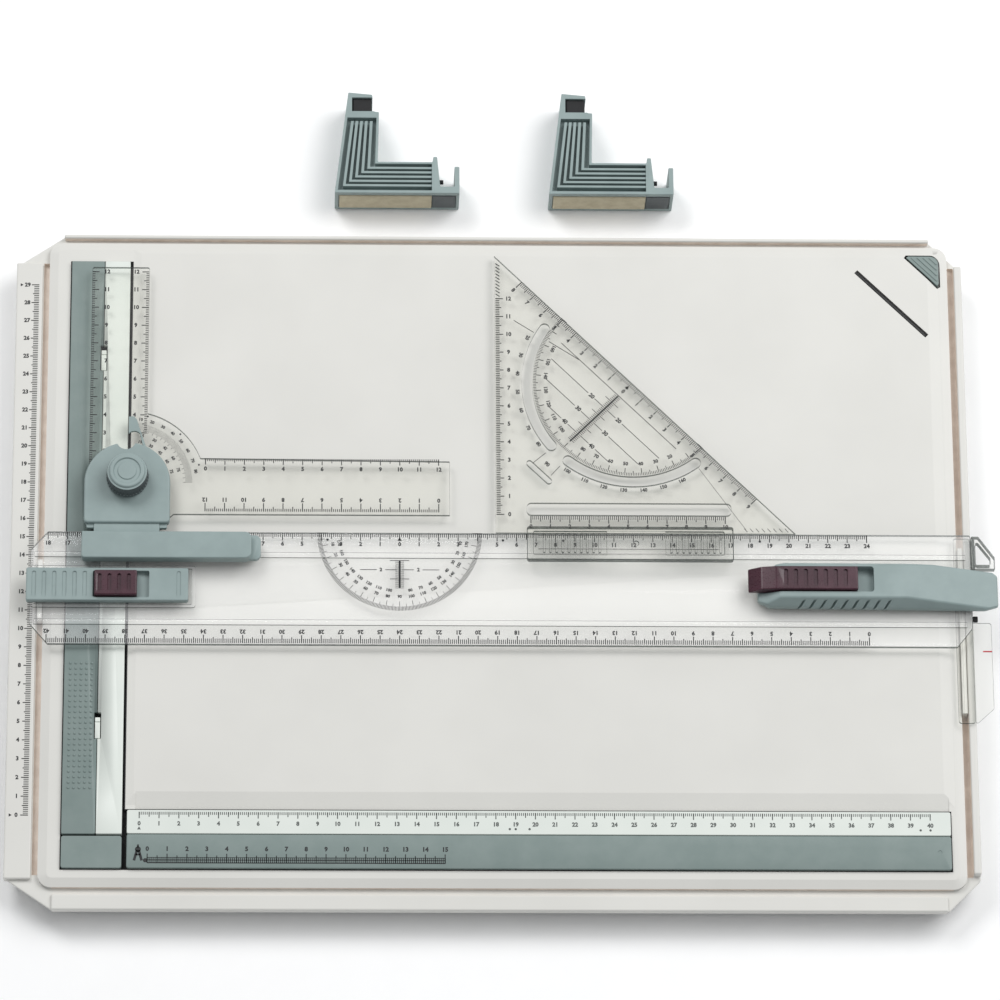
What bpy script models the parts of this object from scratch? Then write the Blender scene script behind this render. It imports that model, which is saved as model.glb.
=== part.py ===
"""Portable A3 drawing board with parallel straightedge, drafting head, set square and two stands.

All sizes are millimetres in the board's drawing frame: X to the right and Y away from the user,
both from the zero of the board's paper scales, and Z up from the table. frame_point() turns them
into metres with the origin under the middle of the whole object.
"""

import bmesh
import bpy
from math import cos, radians, sin, sqrt
from mathutils import Matrix, Vector

MM = 0.001
GAP = 0.3  # running and assembly gap between neighbouring pieces

# --- driving dimensions -------------------------------------------------------------------
BOARD_LEFT, BOARD_RIGHT = -68.0, 425.5
BOARD_FRONT, BOARD_REAR = -49.5, 318.0
CORNER_CUT = 16.5
TABLE_CLEAR = 4.0  # underside of the moulding above the table
LEDGE_TOP = 17.5
SURFACE = 20.0  # drawing surface
PLATEAU = (-50.9, 418.3, -38.0, 313.8)
GROOVE_LEFT = (-53.9, -50.9)
GROOVE_RIGHT = (418.3, 421.5)
GROOVE_FLOOR = 12.5
GROOVE_ENDS = (-31.0, 303.0)
CAVITY_TOP = 14.0
POCKET_FLOOR = 16.0
FEET = {
    "foot_front_left": (-34.0, -32.0),
    "foot_front_right": (402.0, -32.0),
    "foot_rear_left": (-34.0, 299.0),
    "foot_rear_right": (350.0, 299.0),
}
FOOT_R = 10.0

CLAMP_LEFT, CLAMP_SEAM_X, CLAMP_RIGHT = -39.2, -22.0, -8.7
CLAMP_FRONT, CLAMP_REAR = -10.9, 302.2
BAR_LEFT, BAR_RIGHT = -6.2, 410.4
BAR_FRONT, BAR_SEAM_Y, BAR_REAR = -28.7, -10.8, 1.9
CLAMP_UNDER, CLAMP_TOP = 17.0, 21.0
CLAMP_PIN_R = 0.7
CLAMP_AXIS_X = -24.0
BAR_AXIS_Y = -13.4
LATCH_Y = (240.5, 39.5)  # front ends of the two latch windows
LATCH_WINDOW = (3.6, 14.5)
LATCH_TAB = 11.2

RULE_UNDER, RULE_TOP = 22.3, 25.1  # straightedge blade
RIB_TOP = 26.1
EDGE_FRONT, EDGE_REAR = 89.2, 150.3
EDGE_LEFT, EDGE_RIGHT = -57.4, 424.8
HANDLE_Y = 120.7
SCREW_POINTS = ((-45.0, HANDLE_Y), (12.0, HANDLE_Y), (382.0, HANDLE_Y), (410.0, HANDLE_Y))
SCREW_R = 1.4

PIVOT = (-8.2, 177.0)
L_UNDER, L_TOP = 23.5, 25.7
COVER_UNDER, COVER_TOP = 26.1, 31.5
SPINDLE_R = 2.4

SQUARE_CORNER = (180.8, 150.8)
SQUARE_LEG = 154.2
GRIP = (196.6, 301.2, 133.9, 152.2)

STAND_HEIGHT = 22.0
STAND_CORNERS = {"left": (97.5, 341.5), "right": (210.0, 341.5)}

CLIP_PIVOT = (396.6, 289.2)
CLIP_PIN_Z = 11.2
CLIP_PIN_R = 1.0
ROCKER_UNDER, ROCKER_TOP = 9.7, 12.7
CLIP_ARM = 11.6  # from the rocker's pin to the blade, across the slit

FRAME_CENTRE = (185.0, 175.0)

COLOURS = {
    "shell_white": ((0.77, 0.75, 0.72), 0.45, 0.0),
    "clamp_white": ((0.82, 0.87, 0.85), 0.40, 0.0),
    "handle_gray": ((0.30, 0.38, 0.38), 0.45, 0.0),
    "dark_gray": ((0.11, 0.12, 0.13), 0.50, 0.0),
    "lock_maroon": ((0.070, 0.020, 0.035), 0.35, 0.0),
    "clear_acrylic": ((0.86, 0.88, 0.88), 0.10, 0.0),
    "rubber_black": ((0.015, 0.015, 0.017), 0.80, 0.0),
    "pad_beige": ((0.38, 0.33, 0.23), 0.90, 0.0),
    "steel": ((0.62, 0.62, 0.64), 0.30, 1.0),
    "index_red": ((0.55, 0.02, 0.03), 0.40, 0.0),
}

PARTS = None
GUIDES = None
PIVOTS = {}


# --- scene and placing ----------------------------------------------------------------------
def clear_scene():
    for obj in list(bpy.data.objects):
        bpy.data.objects.remove(obj, do_unlink=True)
    for collection in list(bpy.data.collections):
        bpy.data.collections.remove(collection)


def make_collection(name):
    collection = bpy.data.collections.new(name)
    bpy.context.scene.collection.children.link(collection)
    return collection


def make_material(name):
    colour, roughness, metallic = COLOURS[name]
    material = bpy.data.materials.get(name) or bpy.data.materials.new(name)
    material.use_nodes = True
    shader = material.node_tree.nodes["Principled BSDF"]
    shader.inputs["Base Color"].default_value = (*colour, 1.0)
    shader.inputs["Roughness"].default_value = roughness
    shader.inputs["Metallic"].default_value = metallic
    material.diffuse_color = (*colour, 1.0)
    return material


def frame_point(x, y, z):
    """A point of the drawing frame, in metres from the object's origin."""
    return Vector(((x - FRAME_CENTRE[0]) * MM, (y - FRAME_CENTRE[1]) * MM, z * MM))


def make_pivot(name, x, y, z, parent=None):
    """An empty on a moving group's joint axis."""
    empty = bpy.data.objects.new(name, None)
    empty.empty_display_size = 0.01
    GUIDES.objects.link(empty)
    PIVOTS[name] = frame_point(x, y, z)
    if parent:
        empty.parent = bpy.data.objects[parent]
        empty.location = PIVOTS[name] - PIVOTS[parent]
    else:
        empty.location = PIVOTS[name]
    return empty


def place(obj, at, group):
    """Parents obj to its group's empty, with its own origin at the frame point at."""
    obj.parent = bpy.data.objects[group]
    obj.location = frame_point(*at) - PIVOTS[group]


def finish(obj, name, material, at, group, smooth=False):
    obj.name = name
    obj.data.name = name
    obj.data.materials.clear()
    obj.data.materials.append(make_material(material))
    PARTS.objects.link(obj)
    place(obj, at, group)
    if smooth:
        obj.data.shade_smooth()
        obj.data.set_sharp_from_angle(angle=radians(35))
    return obj


def as_guide(obj, at):
    """A cutter or a shape to join: it has its place in the world and is not a part."""
    GUIDES.objects.link(obj)
    obj.location = frame_point(*at)
    obj.hide_render = True
    obj.display_type = "WIRE"
    return obj


# --- shapes: each returns a new object whose mesh is in metres round its own origin ---------
def mesh_object(bm, name="shape"):
    bmesh.ops.recalc_face_normals(bm, faces=bm.faces)
    mesh = bpy.data.meshes.new(name)
    bm.to_mesh(mesh)
    bm.free()
    return bpy.data.objects.new(name, mesh)


def box_mesh(length, width, height, bevel=0.0):
    bm = bmesh.new()
    size = Matrix.Diagonal((length * MM, width * MM, height * MM, 1.0))
    bmesh.ops.create_cube(bm, size=1.0, matrix=size)
    if bevel:
        bmesh.ops.bevel(bm, geom=bm.edges[:], offset=bevel * MM, segments=1, affect="EDGES")
    return mesh_object(bm)


def round_mesh(radius, height, segments=32):
    bm = bmesh.new()
    bmesh.ops.create_cone(
        bm,
        cap_ends=True,
        segments=segments,
        radius1=radius * MM,
        radius2=radius * MM,
        depth=height * MM,
    )
    return mesh_object(bm)


def outline_mesh(loops, thickness):
    """A flat plate from closed loops of (x, y) points in millimetres; inner loops are holes."""
    curve = bpy.data.curves.new("outline", "CURVE")
    curve.dimensions = "2D"
    curve.fill_mode = "BOTH"
    curve.extrude = thickness * MM / 2
    for loop in loops:
        spline = curve.splines.new("POLY")
        spline.points.add(len(loop) - 1)
        for point, (x, y) in zip(spline.points, loop):
            point.co = (x * MM, y * MM, 0.0, 1.0)
        spline.use_cyclic_u = True
    flat = bpy.data.objects.new("outline", curve)
    bpy.context.scene.collection.objects.link(flat)
    depsgraph = bpy.context.evaluated_depsgraph_get()
    mesh = bpy.data.meshes.new_from_object(flat.evaluated_get(depsgraph))
    bpy.data.objects.remove(flat, do_unlink=True)
    bm = bmesh.new()
    bm.from_mesh(mesh)
    bmesh.ops.remove_doubles(bm, verts=bm.verts, dist=1e-6)
    bpy.data.meshes.remove(mesh)
    return mesh_object(bm)


def arc(centre, radius, start, stop, steps):
    """Points on an arc, angles in degrees, both ends included."""
    angles = [radians(start + (stop - start) * i / steps) for i in range(steps + 1)]
    return [(centre[0] + radius * cos(a), centre[1] + radius * sin(a)) for a in angles]


def shifted(loop, at):
    return [(x - at[0], y - at[1]) for x, y in loop]


def rounded_loop(x0, x1, y0, y1, radius, steps=4):
    loop = arc((x1 - radius, y1 - radius), radius, 0, 90, steps)
    loop += arc((x0 + radius, y1 - radius), radius, 90, 180, steps)
    loop += arc((x0 + radius, y0 + radius), radius, 180, 270, steps)
    loop += arc((x1 - radius, y0 + radius), radius, 270, 360, steps)
    return loop


# --- parts and guides from shapes -----------------------------------------------------------
def middle(x0, x1, y0, y1, z0, z1):
    return ((x0 + x1) / 2, (y0 + y1) / 2, (z0 + z1) / 2)


def block(name, limits, material, group, bevel=0.0):
    """A box part from its limits (x0, x1, y0, y1, z0, z1)."""
    x0, x1, y0, y1, z0, z1 = limits
    obj = box_mesh(x1 - x0, y1 - y0, z1 - z0, bevel)
    return finish(obj, name, material, middle(*limits), group)


def plate(name, loops, z0, z1, material, group, at=None):
    """A plate part from loops in the drawing frame, its origin at the point at."""
    at = at or loops[0][0]
    obj = outline_mesh([shifted(loop, at) for loop in loops], z1 - z0)
    return finish(obj, name, material, (*at, (z0 + z1) / 2), group)


def disc(name, centre, radius, z0, z1, material, group, segments=32):
    obj = round_mesh(radius, z1 - z0, segments)
    return finish(obj, name, material, (*centre, (z0 + z1) / 2), group, smooth=True)


def guide_block(x0, x1, y0, y1, z0, z1):
    return as_guide(box_mesh(x1 - x0, y1 - y0, z1 - z0), middle(x0, x1, y0, y1, z0, z1))


def guide_plate(loops, z0, z1):
    at = loops[0][0]
    obj = outline_mesh([shifted(loop, at) for loop in loops], z1 - z0)
    return as_guide(obj, (*at, (z0 + z1) / 2))


def guide_disc(centre, radius, z0, z1, segments=24):
    obj = round_mesh(radius, z1 - z0, segments)
    return as_guide(obj, (*centre, (z0 + z1) / 2))


def combine(obj, guide, operation):
    modifier = obj.modifiers.new(operation.lower(), "BOOLEAN")
    modifier.operation = operation
    modifier.solver = "EXACT"
    modifier.object = guide
    return modifier


def cut(obj, *guides):
    for guide in guides:
        combine(obj, guide, "DIFFERENCE")


def join(obj, *guides):
    for guide in guides:
        combine(obj, guide, "UNION")


def group_guide(guides):
    """Several loose guides as one guide mesh, which needs one Boolean instead of many."""
    bm = bmesh.new()
    for guide in guides:
        mesh = guide.data.copy()
        turn = guide.rotation_euler.to_matrix().to_4x4()
        mesh.transform(Matrix.Translation(guide.location) @ turn)
        bm.from_mesh(mesh)
        bpy.data.meshes.remove(mesh)
        bpy.data.objects.remove(guide, do_unlink=True)
    obj = mesh_object(bm)
    GUIDES.objects.link(obj)
    obj.hide_render = True
    obj.display_type = "WIRE"
    return obj


# --- board ----------------------------------------------------------------------------------
def board_outline():
    c = CORNER_CUT
    return [
        (BOARD_LEFT + 24, BOARD_FRONT),
        (BOARD_RIGHT - c, BOARD_FRONT),
        (BOARD_RIGHT, BOARD_FRONT + c),
        (BOARD_RIGHT, BOARD_REAR - c),
        (BOARD_RIGHT - c, BOARD_REAR),
        (BOARD_LEFT + 24, BOARD_REAR),
        (BOARD_LEFT, BOARD_REAR - c),
        (BOARD_LEFT, BOARD_FRONT + c),
    ]


def underside_cavities():
    """A grid of open cells under the moulding, with ribs between them."""
    columns, rows, rib = 10, 8, 3.0
    x0, x1, y0, y1 = -47.0, 415.0, -45.0, 312.0
    step_x = (x1 - x0 + rib) / columns
    step_y = (y1 - y0 + rib) / rows
    cells = []
    for i in range(columns):
        for j in range(rows):
            left = x0 + i * step_x
            front = y0 + j * step_y
            right = left + step_x - rib
            rear = front + step_y - rib
            cells.append(guide_block(left, right, front, rear, 0.0, CAVITY_TOP))
    return group_guide(cells)


def feet_bosses():
    """Bosses inside the corner cells that carry the feet, reaching up into the deck."""
    height = (TABLE_CLEAR, CAVITY_TOP + 0.5)
    return group_guide([guide_disc(centre, FOOT_R + 2.0, *height) for centre in FEET.values()])


def clamp_pocket():
    """The L-shaped pocket for the left clamp, the corner block and the bottom clamp."""
    left, right = CLAMP_LEFT - 0.6, BAR_RIGHT + 0.6
    front, rear = BAR_FRONT - 0.6, CLAMP_REAR + 0.6
    inner_x, inner_y = CLAMP_RIGHT + 1.5, BAR_REAR + 0.8
    loop = [(left, front), (right, front), (right, inner_y)]
    loop += [(inner_x, inner_y), (inner_x, rear), (left, rear)]
    return guide_plate([loop], POCKET_FLOOR, SURFACE + 2.0)


def clip_point(across, along):
    """A point from the rocker's pin: across towards the board's corner, along the slit."""
    s = 1 / sqrt(2)
    return (CLIP_PIVOT[0] + (across + along) * s, CLIP_PIVOT[1] + (across - along) * s)


def clip_loop(across0, across1, along0, along1):
    return [
        clip_point(across0, along0),
        clip_point(across0, along1),
        clip_point(across1, along1),
        clip_point(across1, along0),
    ]


def key_loop(grow):
    """The corner key's outline: a right triangle with its outer corner rounded."""
    x0, x1, y0, y1, radius = 396.0, 413.6, 290.2, 307.8, 4.5
    left, right = x0 - 2.2 * grow, x1 + grow
    front, rear = y0 - 2.2 * grow, y1 + grow
    loop = arc((x1 - radius, y1 - radius), radius + grow, 0, 90, 6)
    return loop + [(left, rear), (right, front)]


def clip_pin_guide(radius):
    obj = round_mesh(radius, 30.0, 16)
    as_guide(obj, (*CLIP_PIVOT, CLIP_PIN_Z))
    obj.rotation_euler = (radians(90), 0.0, radians(45))
    return obj


def make_board():
    board = plate("drawing_board", [board_outline()], TABLE_CLEAR, LEDGE_TOP, "shell_white", "board")
    x0, x1, y0, y1 = PLATEAU
    deck = guide_plate([rounded_loop(x0, x1, y0, y1, 7.0)], LEDGE_TOP - 1.0, SURFACE)
    side_rail = (GROOVE_RIGHT[1], BOARD_RIGHT - 0.6, *GROOVE_ENDS, LEDGE_TOP - 1, SURFACE)
    rear_rail = (BOARD_LEFT + 26, BOARD_RIGHT - 18, BOARD_REAR - 2.2, BOARD_REAR - 0.6)
    rails = [guide_block(*side_rail), guide_block(*rear_rail, LEDGE_TOP - 1, SURFACE)]
    join(board, deck, group_guide(rails))
    cut(board, underside_cavities())
    join(board, feet_bosses())
    lug_ends = ((8.0, 11.0), (-11.0, -8.0))
    lug_z = (CLIP_PIN_Z - 2.5, CAVITY_TOP + 0.5)
    lugs = [guide_plate([clip_loop(-3.0, 3.0, *ends)], *lug_z) for ends in lug_ends]
    join(board, group_guide(lugs))
    grooves = [
        guide_block(*GROOVE_LEFT, *GROOVE_ENDS, GROOVE_FLOOR, SURFACE + 2),
        guide_block(*GROOVE_RIGHT, *GROOVE_ENDS, GROOVE_FLOOR, SURFACE + 2),
    ]
    cut(board, group_guide(grooves), clamp_pocket())
    key_hole = guide_plate([key_loop(0.9)], 8.0, SURFACE + 2)
    slit_loop = clip_loop(-CLIP_ARM - 1.2, -CLIP_ARM + 1.2, -25.6, 25.6)
    slit = guide_plate([slit_loop], 8.0, SURFACE + 2)
    cut(board, group_guide([key_hole, slit]), clip_pin_guide(CLIP_PIN_R + GAP))
    for name, centre in FEET.items():
        disc(name, centre, FOOT_R, 0.0, TABLE_CLEAR - GAP, "rubber_black", "board")
    z0, z1 = POCKET_FLOOR + GAP, CLAMP_TOP - 0.3
    corner = (CLAMP_LEFT, CLAMP_RIGHT, BAR_FRONT, CLAMP_FRONT - 0.5, z0, z1)
    block("corner_block", corner, "handle_gray", "board", bevel=0.4)


def make_clamp_hardware():
    """The clamps' hinge rods and the flat springs that close them, on the pocket's floor."""
    rod = round_mesh(CLAMP_PIN_R, CLAMP_REAR - CLAMP_FRONT - 4.0, 12)
    at = (CLAMP_AXIS_X, (CLAMP_FRONT + CLAMP_REAR) / 2, CLAMP_UNDER)
    finish(rod, "left_clamp_rod", "steel", at, "board", smooth=True)
    rod.rotation_euler = (radians(90), 0.0, 0.0)
    rod = round_mesh(CLAMP_PIN_R, BAR_RIGHT - BAR_LEFT - 4.0, 12)
    at = ((BAR_LEFT + BAR_RIGHT) / 2, BAR_AXIS_Y, CLAMP_UNDER)
    finish(rod, "bottom_clamp_rod", "steel", at, "board", smooth=True)
    rod.rotation_euler = (0.0, radians(90), 0.0)
    z0, z1 = POCKET_FLOOR + GAP, POCKET_FLOOR + 0.6
    block("left_clamp_spring", (-36.5, -31.5, 20.0, 270.0, z0, z1), "steel", "board")
    block("bottom_clamp_spring", (30.0, 375.0, -26.0, -21.0, z0, z1), "steel", "board")


def latch_windows():
    width, length = LATCH_WINDOW
    x0 = CLAMP_SEAM_X - width / 2 + 0.2
    z0, z1 = CLAMP_UNDER - 1, CLAMP_TOP + 1
    return group_guide([guide_block(x0, x0 + width, y, y + length, z0, z1) for y in LATCH_Y])


def make_left_clamp():
    limits = (CLAMP_LEFT, CLAMP_SEAM_X - 0.15, CLAMP_FRONT, CLAMP_REAR, CLAMP_UNDER, CLAMP_TOP)
    grip = block("left_clamp_grip", limits, "handle_gray", "left_clamp", bevel=0.3)
    limits = (CLAMP_SEAM_X + 0.15, CLAMP_RIGHT, CLAMP_FRONT, CLAMP_REAR, CLAMP_UNDER, CLAMP_TOP)
    edge = block("left_clamp_edge", limits, "clamp_white", "left_clamp", bevel=0.3)
    windows = latch_windows()
    groove = (CLAMP_AXIS_X - 1, CLAMP_AXIS_X + 1, CLAMP_FRONT - 1, CLAMP_REAR + 1)
    rod_groove = guide_block(*groove, CLAMP_UNDER - 1, CLAMP_UNDER + 1)
    spring_recess = guide_block(-38.0, -30.0, 15.0, 275.0, CLAMP_UNDER - 1, CLAMP_UNDER + 0.8)
    cut(grip, windows, group_guide([rod_groove, spring_recess]))
    cut(edge, windows)
    for name, y in zip(("rear_latch", "front_latch"), LATCH_Y):
        x0 = CLAMP_SEAM_X - LATCH_WINDOW[0] / 2 + 0.2 + 0.5
        limits = (x0, x0 + LATCH_WINDOW[0] - 1.0, y + 0.4, y + 0.4 + LATCH_TAB)
        limits += (CLAMP_UNDER + 0.4, CLAMP_TOP - 0.2)
        block(name, limits, "clamp_white", name + "_body", bevel=0.2)


def make_bottom_clamp():
    limits = (BAR_LEFT, BAR_RIGHT, BAR_FRONT, BAR_SEAM_Y - 0.15, CLAMP_UNDER, CLAMP_TOP)
    grip = block("bottom_clamp_grip", limits, "handle_gray", "bottom_clamp", bevel=0.3)
    limits = (BAR_LEFT, BAR_RIGHT, BAR_SEAM_Y + 0.15, BAR_REAR, CLAMP_UNDER, CLAMP_TOP)
    block("bottom_scale_bar", limits, "clamp_white", "bottom_clamp", bevel=0.3)
    rod_groove = guide_block(
        BAR_LEFT - 1, BAR_RIGHT + 1, BAR_AXIS_Y - 1, BAR_AXIS_Y + 1, CLAMP_UNDER - 1, CLAMP_UNDER + 1
    )
    spring_recess = guide_block(25.0, 380.0, -27.5, -19.5, CLAMP_UNDER - 1, CLAMP_UNDER + 0.8)
    cut(grip, group_guide([rod_groove, spring_recess]))


def make_corner_clip():
    """A rocker under the deck: pressing the corner key lifts the blade out of the slit."""
    foot = ROCKER_TOP + GAP
    plate("corner_key", [key_loop(0.0)], foot, CLAMP_TOP, "handle_gray", "corner_clip")
    blade = clip_loop(-CLIP_ARM - 0.9, -CLIP_ARM, -25.0, 25.0)
    plate("corner_blade", [blade], foot, SURFACE + GAP, "rubber_black", "corner_clip")
    arm = clip_loop(-CLIP_ARM - 3, 17.0, -6.5, 6.5)
    rocker = plate("corner_rocker", [arm], ROCKER_UNDER, ROCKER_TOP, "steel", "corner_clip")
    cut(rocker, clip_pin_guide(CLIP_PIN_R + GAP))
    pin = round_mesh(CLIP_PIN_R, 21.0, 12)
    finish(pin, "corner_pin", "steel", (*CLIP_PIVOT, CLIP_PIN_Z), "board", smooth=True)
    pin.rotation_euler = (radians(90), 0.0, radians(45))


# --- straightedge ---------------------------------------------------------------------------
def screw_holes():
    z0, z1 = RULE_UNDER - 1, RULE_TOP + 4.0
    return group_guide([guide_disc(p, SCREW_R + GAP, z0, z1, 16) for p in SCREW_POINTS])


def make_straightedge():
    group = "straightedge_carriage"
    outline = [
        (-48.0, EDGE_FRONT),
        (416.6, EDGE_FRONT),
        (EDGE_RIGHT, 99.6),
        (EDGE_RIGHT, EDGE_REAR),
        (-48.6, EDGE_REAR),
        (EDGE_LEFT, 140.5),
        (EDGE_LEFT, 100.2),
    ]
    blade = plate("straightedge", [outline], RULE_UNDER, RULE_TOP, "clear_acrylic", group)
    z0, z1 = RULE_TOP - 0.5, RIB_TOP
    ribs = [guide_block(-46.0, 416.0, y, y + 3.0, z0, z1) for y in (137.3, 100.7)]
    frame = [
        guide_block(EDGE_LEFT, 27.0, 109.4, 111.0, z0, z1),
        guide_block(EDGE_LEFT, 27.0, 130.0, 131.6, z0, z1),
    ]
    end_rail = guide_block(25.4, 27.0, 109.4, 131.6, z0, z1)
    join(blade, group_guide(ribs), group_guide(frame), end_rail)
    cut(blade, screw_holes())
    for index, centre in enumerate(SCREW_POINTS):
        screw = round_mesh(SCREW_R, 6.0, 12)
        at = (*centre, RULE_UNDER + 3.3)
        finish(screw, f"handle_screw_{index + 1}", "steel", at, group, smooth=True)
    floor = GROOVE_FLOOR + GAP
    shoe = (GROOVE_LEFT[0] + GAP, GROOVE_LEFT[1] - GAP, 104.0, 136.0, floor, RULE_UNDER - GAP)
    block("left_guide_shoe", shoe, "clear_acrylic", group, bevel=0.3)
    runner = (GROOVE_RIGHT[0] + GAP, GROOVE_RIGHT[1] - GAP, 55.0, 145.0, floor, SURFACE + 0.1)
    block("right_guide_runner", runner, "clear_acrylic", group, bevel=0.3)


def make_left_handle():
    limits = (-57.0, 23.5, 112.6, 128.9, RULE_TOP + GAP, 29.6)
    handle = block("left_handle", limits, "handle_gray", "straightedge_carriage", bevel=0.5)
    slot = guide_block(-23.4, 3.6, 114.4, 127.2, 26.4, 32.0)
    cut(handle, slot, screw_holes())
    slider = (-22.9, -2.6, 114.8, 126.8, 27.1, 32.2)
    block("left_lock_slider", slider, "lock_maroon", "left_lock", bevel=0.5)
    spring = (-20.0, 1.0, 119.0, 122.4, 26.6, 26.9)
    block("left_lock_spring", spring, "steel", "straightedge_carriage")


def make_right_handle():
    """A wedge-shaped handle whose top falls to the right end and whose near side slopes."""
    outline = [
        (317.0, 109.0),
        (437.8, 108.2),
        (437.8, 128.4),
        (391.0, 132.6),
        (328.0, 133.0),
        (309.4, 124.6),
        (309.4, 113.6),
    ]
    z0, z1 = RULE_TOP + GAP, 34.4
    handle = plate("right_handle", [outline], z0, z1, "handle_gray", "straightedge_carriage")
    near_side = as_guide(box_mesh(150.0, 20.0, 30.0), (370.0, 103.2, 38.0))
    near_side.rotation_euler = (radians(-30), 0.0, 0.0)
    nose = as_guide(box_mesh(30.0, 50.0, 30.0), (300.0, 120.0, 43.2))
    nose.rotation_euler = (0.0, radians(-32), 0.0)
    tail = as_guide(box_mesh(60.0, 50.0, 20.0), (421.0, 120.0, 42.7))
    tail.rotation_euler = (0.0, radians(5), 0.0)
    cut(handle, near_side, nose, tail)
    slot = guide_block(300.0, 369.0, 115.9, 129.4, 29.0, 40.0)
    cut(handle, slot, screw_holes())
    limits = (309.6, 361.5, 116.4, 128.9, 29.4, 36.4)
    lever = block("right_lock_lever", limits, "lock_maroon", "right_lock", bevel=0.4)
    lever_nose = as_guide(box_mesh(20.0, 30.0, 20.0), (306.2, 122.0, 42.2))
    lever_nose.rotation_euler = (0.0, radians(-38), 0.0)
    cut(lever, lever_nose)


def make_right_carriage():
    """The clear bracket on the board's right edge, with its long guide and paper-edge flap."""
    group = "straightedge_carriage"
    outline = [(425.2, 131.8), (437.2, 131.8), (437.2, 138.2), (429.0, 149.6), (425.2, 149.6)]
    window = [(427.4, 134.2), (434.8, 134.2), (434.8, 137.6), (428.6, 146.0), (427.4, 146.0)]
    z0, z1 = SURFACE + 0.4, RULE_UNDER - GAP
    bracket = plate("right_carriage", [outline, window], z0, RULE_TOP, "clear_acrylic", group)
    skirt = guide_block(426.0, 427.4, 131.8, 149.6, 9.0, 21.0)
    join(bracket, skirt)
    block("right_guide_tail", (416.3, 424.8, 49.2, 149.6, z0, z1), "clear_acrylic", group)
    flap = [(425.1, 49.6), (434.6, 57.2), (434.6, 103.6), (425.1, 103.6)]
    plate("paper_edge_flap", [flap], z0, z0 + 1.0, "clear_acrylic", group)
    block("index_line", (429.8, 434.4, 87.6, 88.3, z0 + 1.3, z0 + 1.5), "index_red", group)
    block("friction_pad", (425.1, 433.0, 104.0, 107.0, z0, z1), "rubber_black", group)


# --- drafting head --------------------------------------------------------------------------
def cover_loop():
    """The head cover seen from above: straight sides, a round top with a thumb notch."""
    radius = 20.2
    loop = [(PIVOT[0] - radius, 154.6), (PIVOT[0] + radius, 154.6)]
    loop += arc(PIVOT, radius, 0, 80, 10)
    loop += arc((PIVOT[0] - 0.2, PIVOT[1] + 21.4), 5.2, -42, -138, 6)
    loop += arc(PIVOT, radius, 100, 180, 10)
    return loop


def pivot_hole(z0, z1):
    return guide_disc(PIVOT, SPINDLE_R + GAP, z0, z1)


def make_head():
    limits = (-29.8, 55.6, 135.9, 149.9, RIB_TOP + GAP, 31.0)
    bar = block("head_slider_bar", limits, "handle_gray", "head", bevel=0.6)
    join(bar, guide_block(54.0, 60.3, 136.2, 149.0, RIB_TOP + GAP, 29.0))
    cover = plate("head_cover", [cover_loop()], COVER_UNDER, COVER_TOP, "handle_gray", "head", at=PIVOT)
    join(cover, guide_block(-25.2, 8.4, 150.2, 156.0, COVER_UNDER + 0.4, 30.0))
    cut(cover, pivot_hole(20.0, 40.0))
    base = disc("head_base_disc", PIVOT, 18.0, RULE_UNDER, L_UNDER - GAP, "dark_gray", "head")
    cut(base, pivot_hole(20.0, 40.0))
    fin = [(-7.4, 197.6), (-1.6, 197.6), (-1.2, 200.6), (-4.0, 208.0)]
    fin += [(-5.4, 211.2), (-8.0, 211.6), (-8.0, 203.6)]
    hole = arc((-5.6, 200.9), 1.5, 0, 330, 11)
    plate("index_pointer", [fin, hole], COVER_UNDER, COVER_UNDER + 1.6, "handle_gray", "head")
    disc("head_spindle", PIVOT, SPINDLE_R, RULE_UNDER + 0.1, 38.0, "steel", "head", 20)
    washer = disc("pressure_washer", PIVOT, 8.0, COVER_TOP + GAP, COVER_TOP + 0.9, "steel", "head")
    cut(washer, pivot_hole(25.0, 40.0))


def make_knob():
    """The knurled clamping knob: a turned body with a flange and a dished top."""
    base = COVER_TOP + 1.2
    profile = [(0.0, 42.0), (6.4, 42.0), (7.0, 42.8), (9.2, 42.8), (9.9, 42.1), (9.9, base + 2.4)]
    profile += [(10.9, base + 1.6), (10.9, base), (0.0, base)]
    bm = bmesh.new()
    points = [bm.verts.new((x * MM, 0.0, (z - base) * MM)) for x, z in profile]
    for first, second in zip(points, points[1:]):
        bm.edges.new((first, second))
    mesh = bpy.data.meshes.new("head_knob")
    bm.to_mesh(mesh)
    bm.free()
    knob = bpy.data.objects.new("head_knob", mesh)
    finish(knob, "head_knob", "handle_gray", (*PIVOT, base), "knob")
    screw = knob.modifiers.new("turn", "SCREW")
    screw.steps = 36
    screw.render_steps = 36
    screw.use_merge_vertices = True
    screw.merge_threshold = 0.00001
    cut(knob, pivot_hole(base - 1.0, 38.5))


def make_l_ruler():
    x, y = PIVOT
    loop = [(157.2, 161.0), (157.2, 190.6)]
    loop += arc(PIVOT, 39.5, 20.2, 76.0, 8)
    loop += [(1.4, 295.0), (-0.6, 297.0), (-26.3, 297.0), (-28.3, 295.0)]
    loop += arc(PIVOT, 20.1, 180, 290, 10)
    loop += [(13.0, y + 20.1 * sin(radians(290))), (16.5, 161.0)]
    hole = arc(PIVOT, SPINDLE_R + GAP, 0, 345, 23)
    plate("l_ruler", [loop, hole], L_UNDER, L_TOP, "clear_acrylic", "l_ruler_swivel", at=(x, y))


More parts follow.
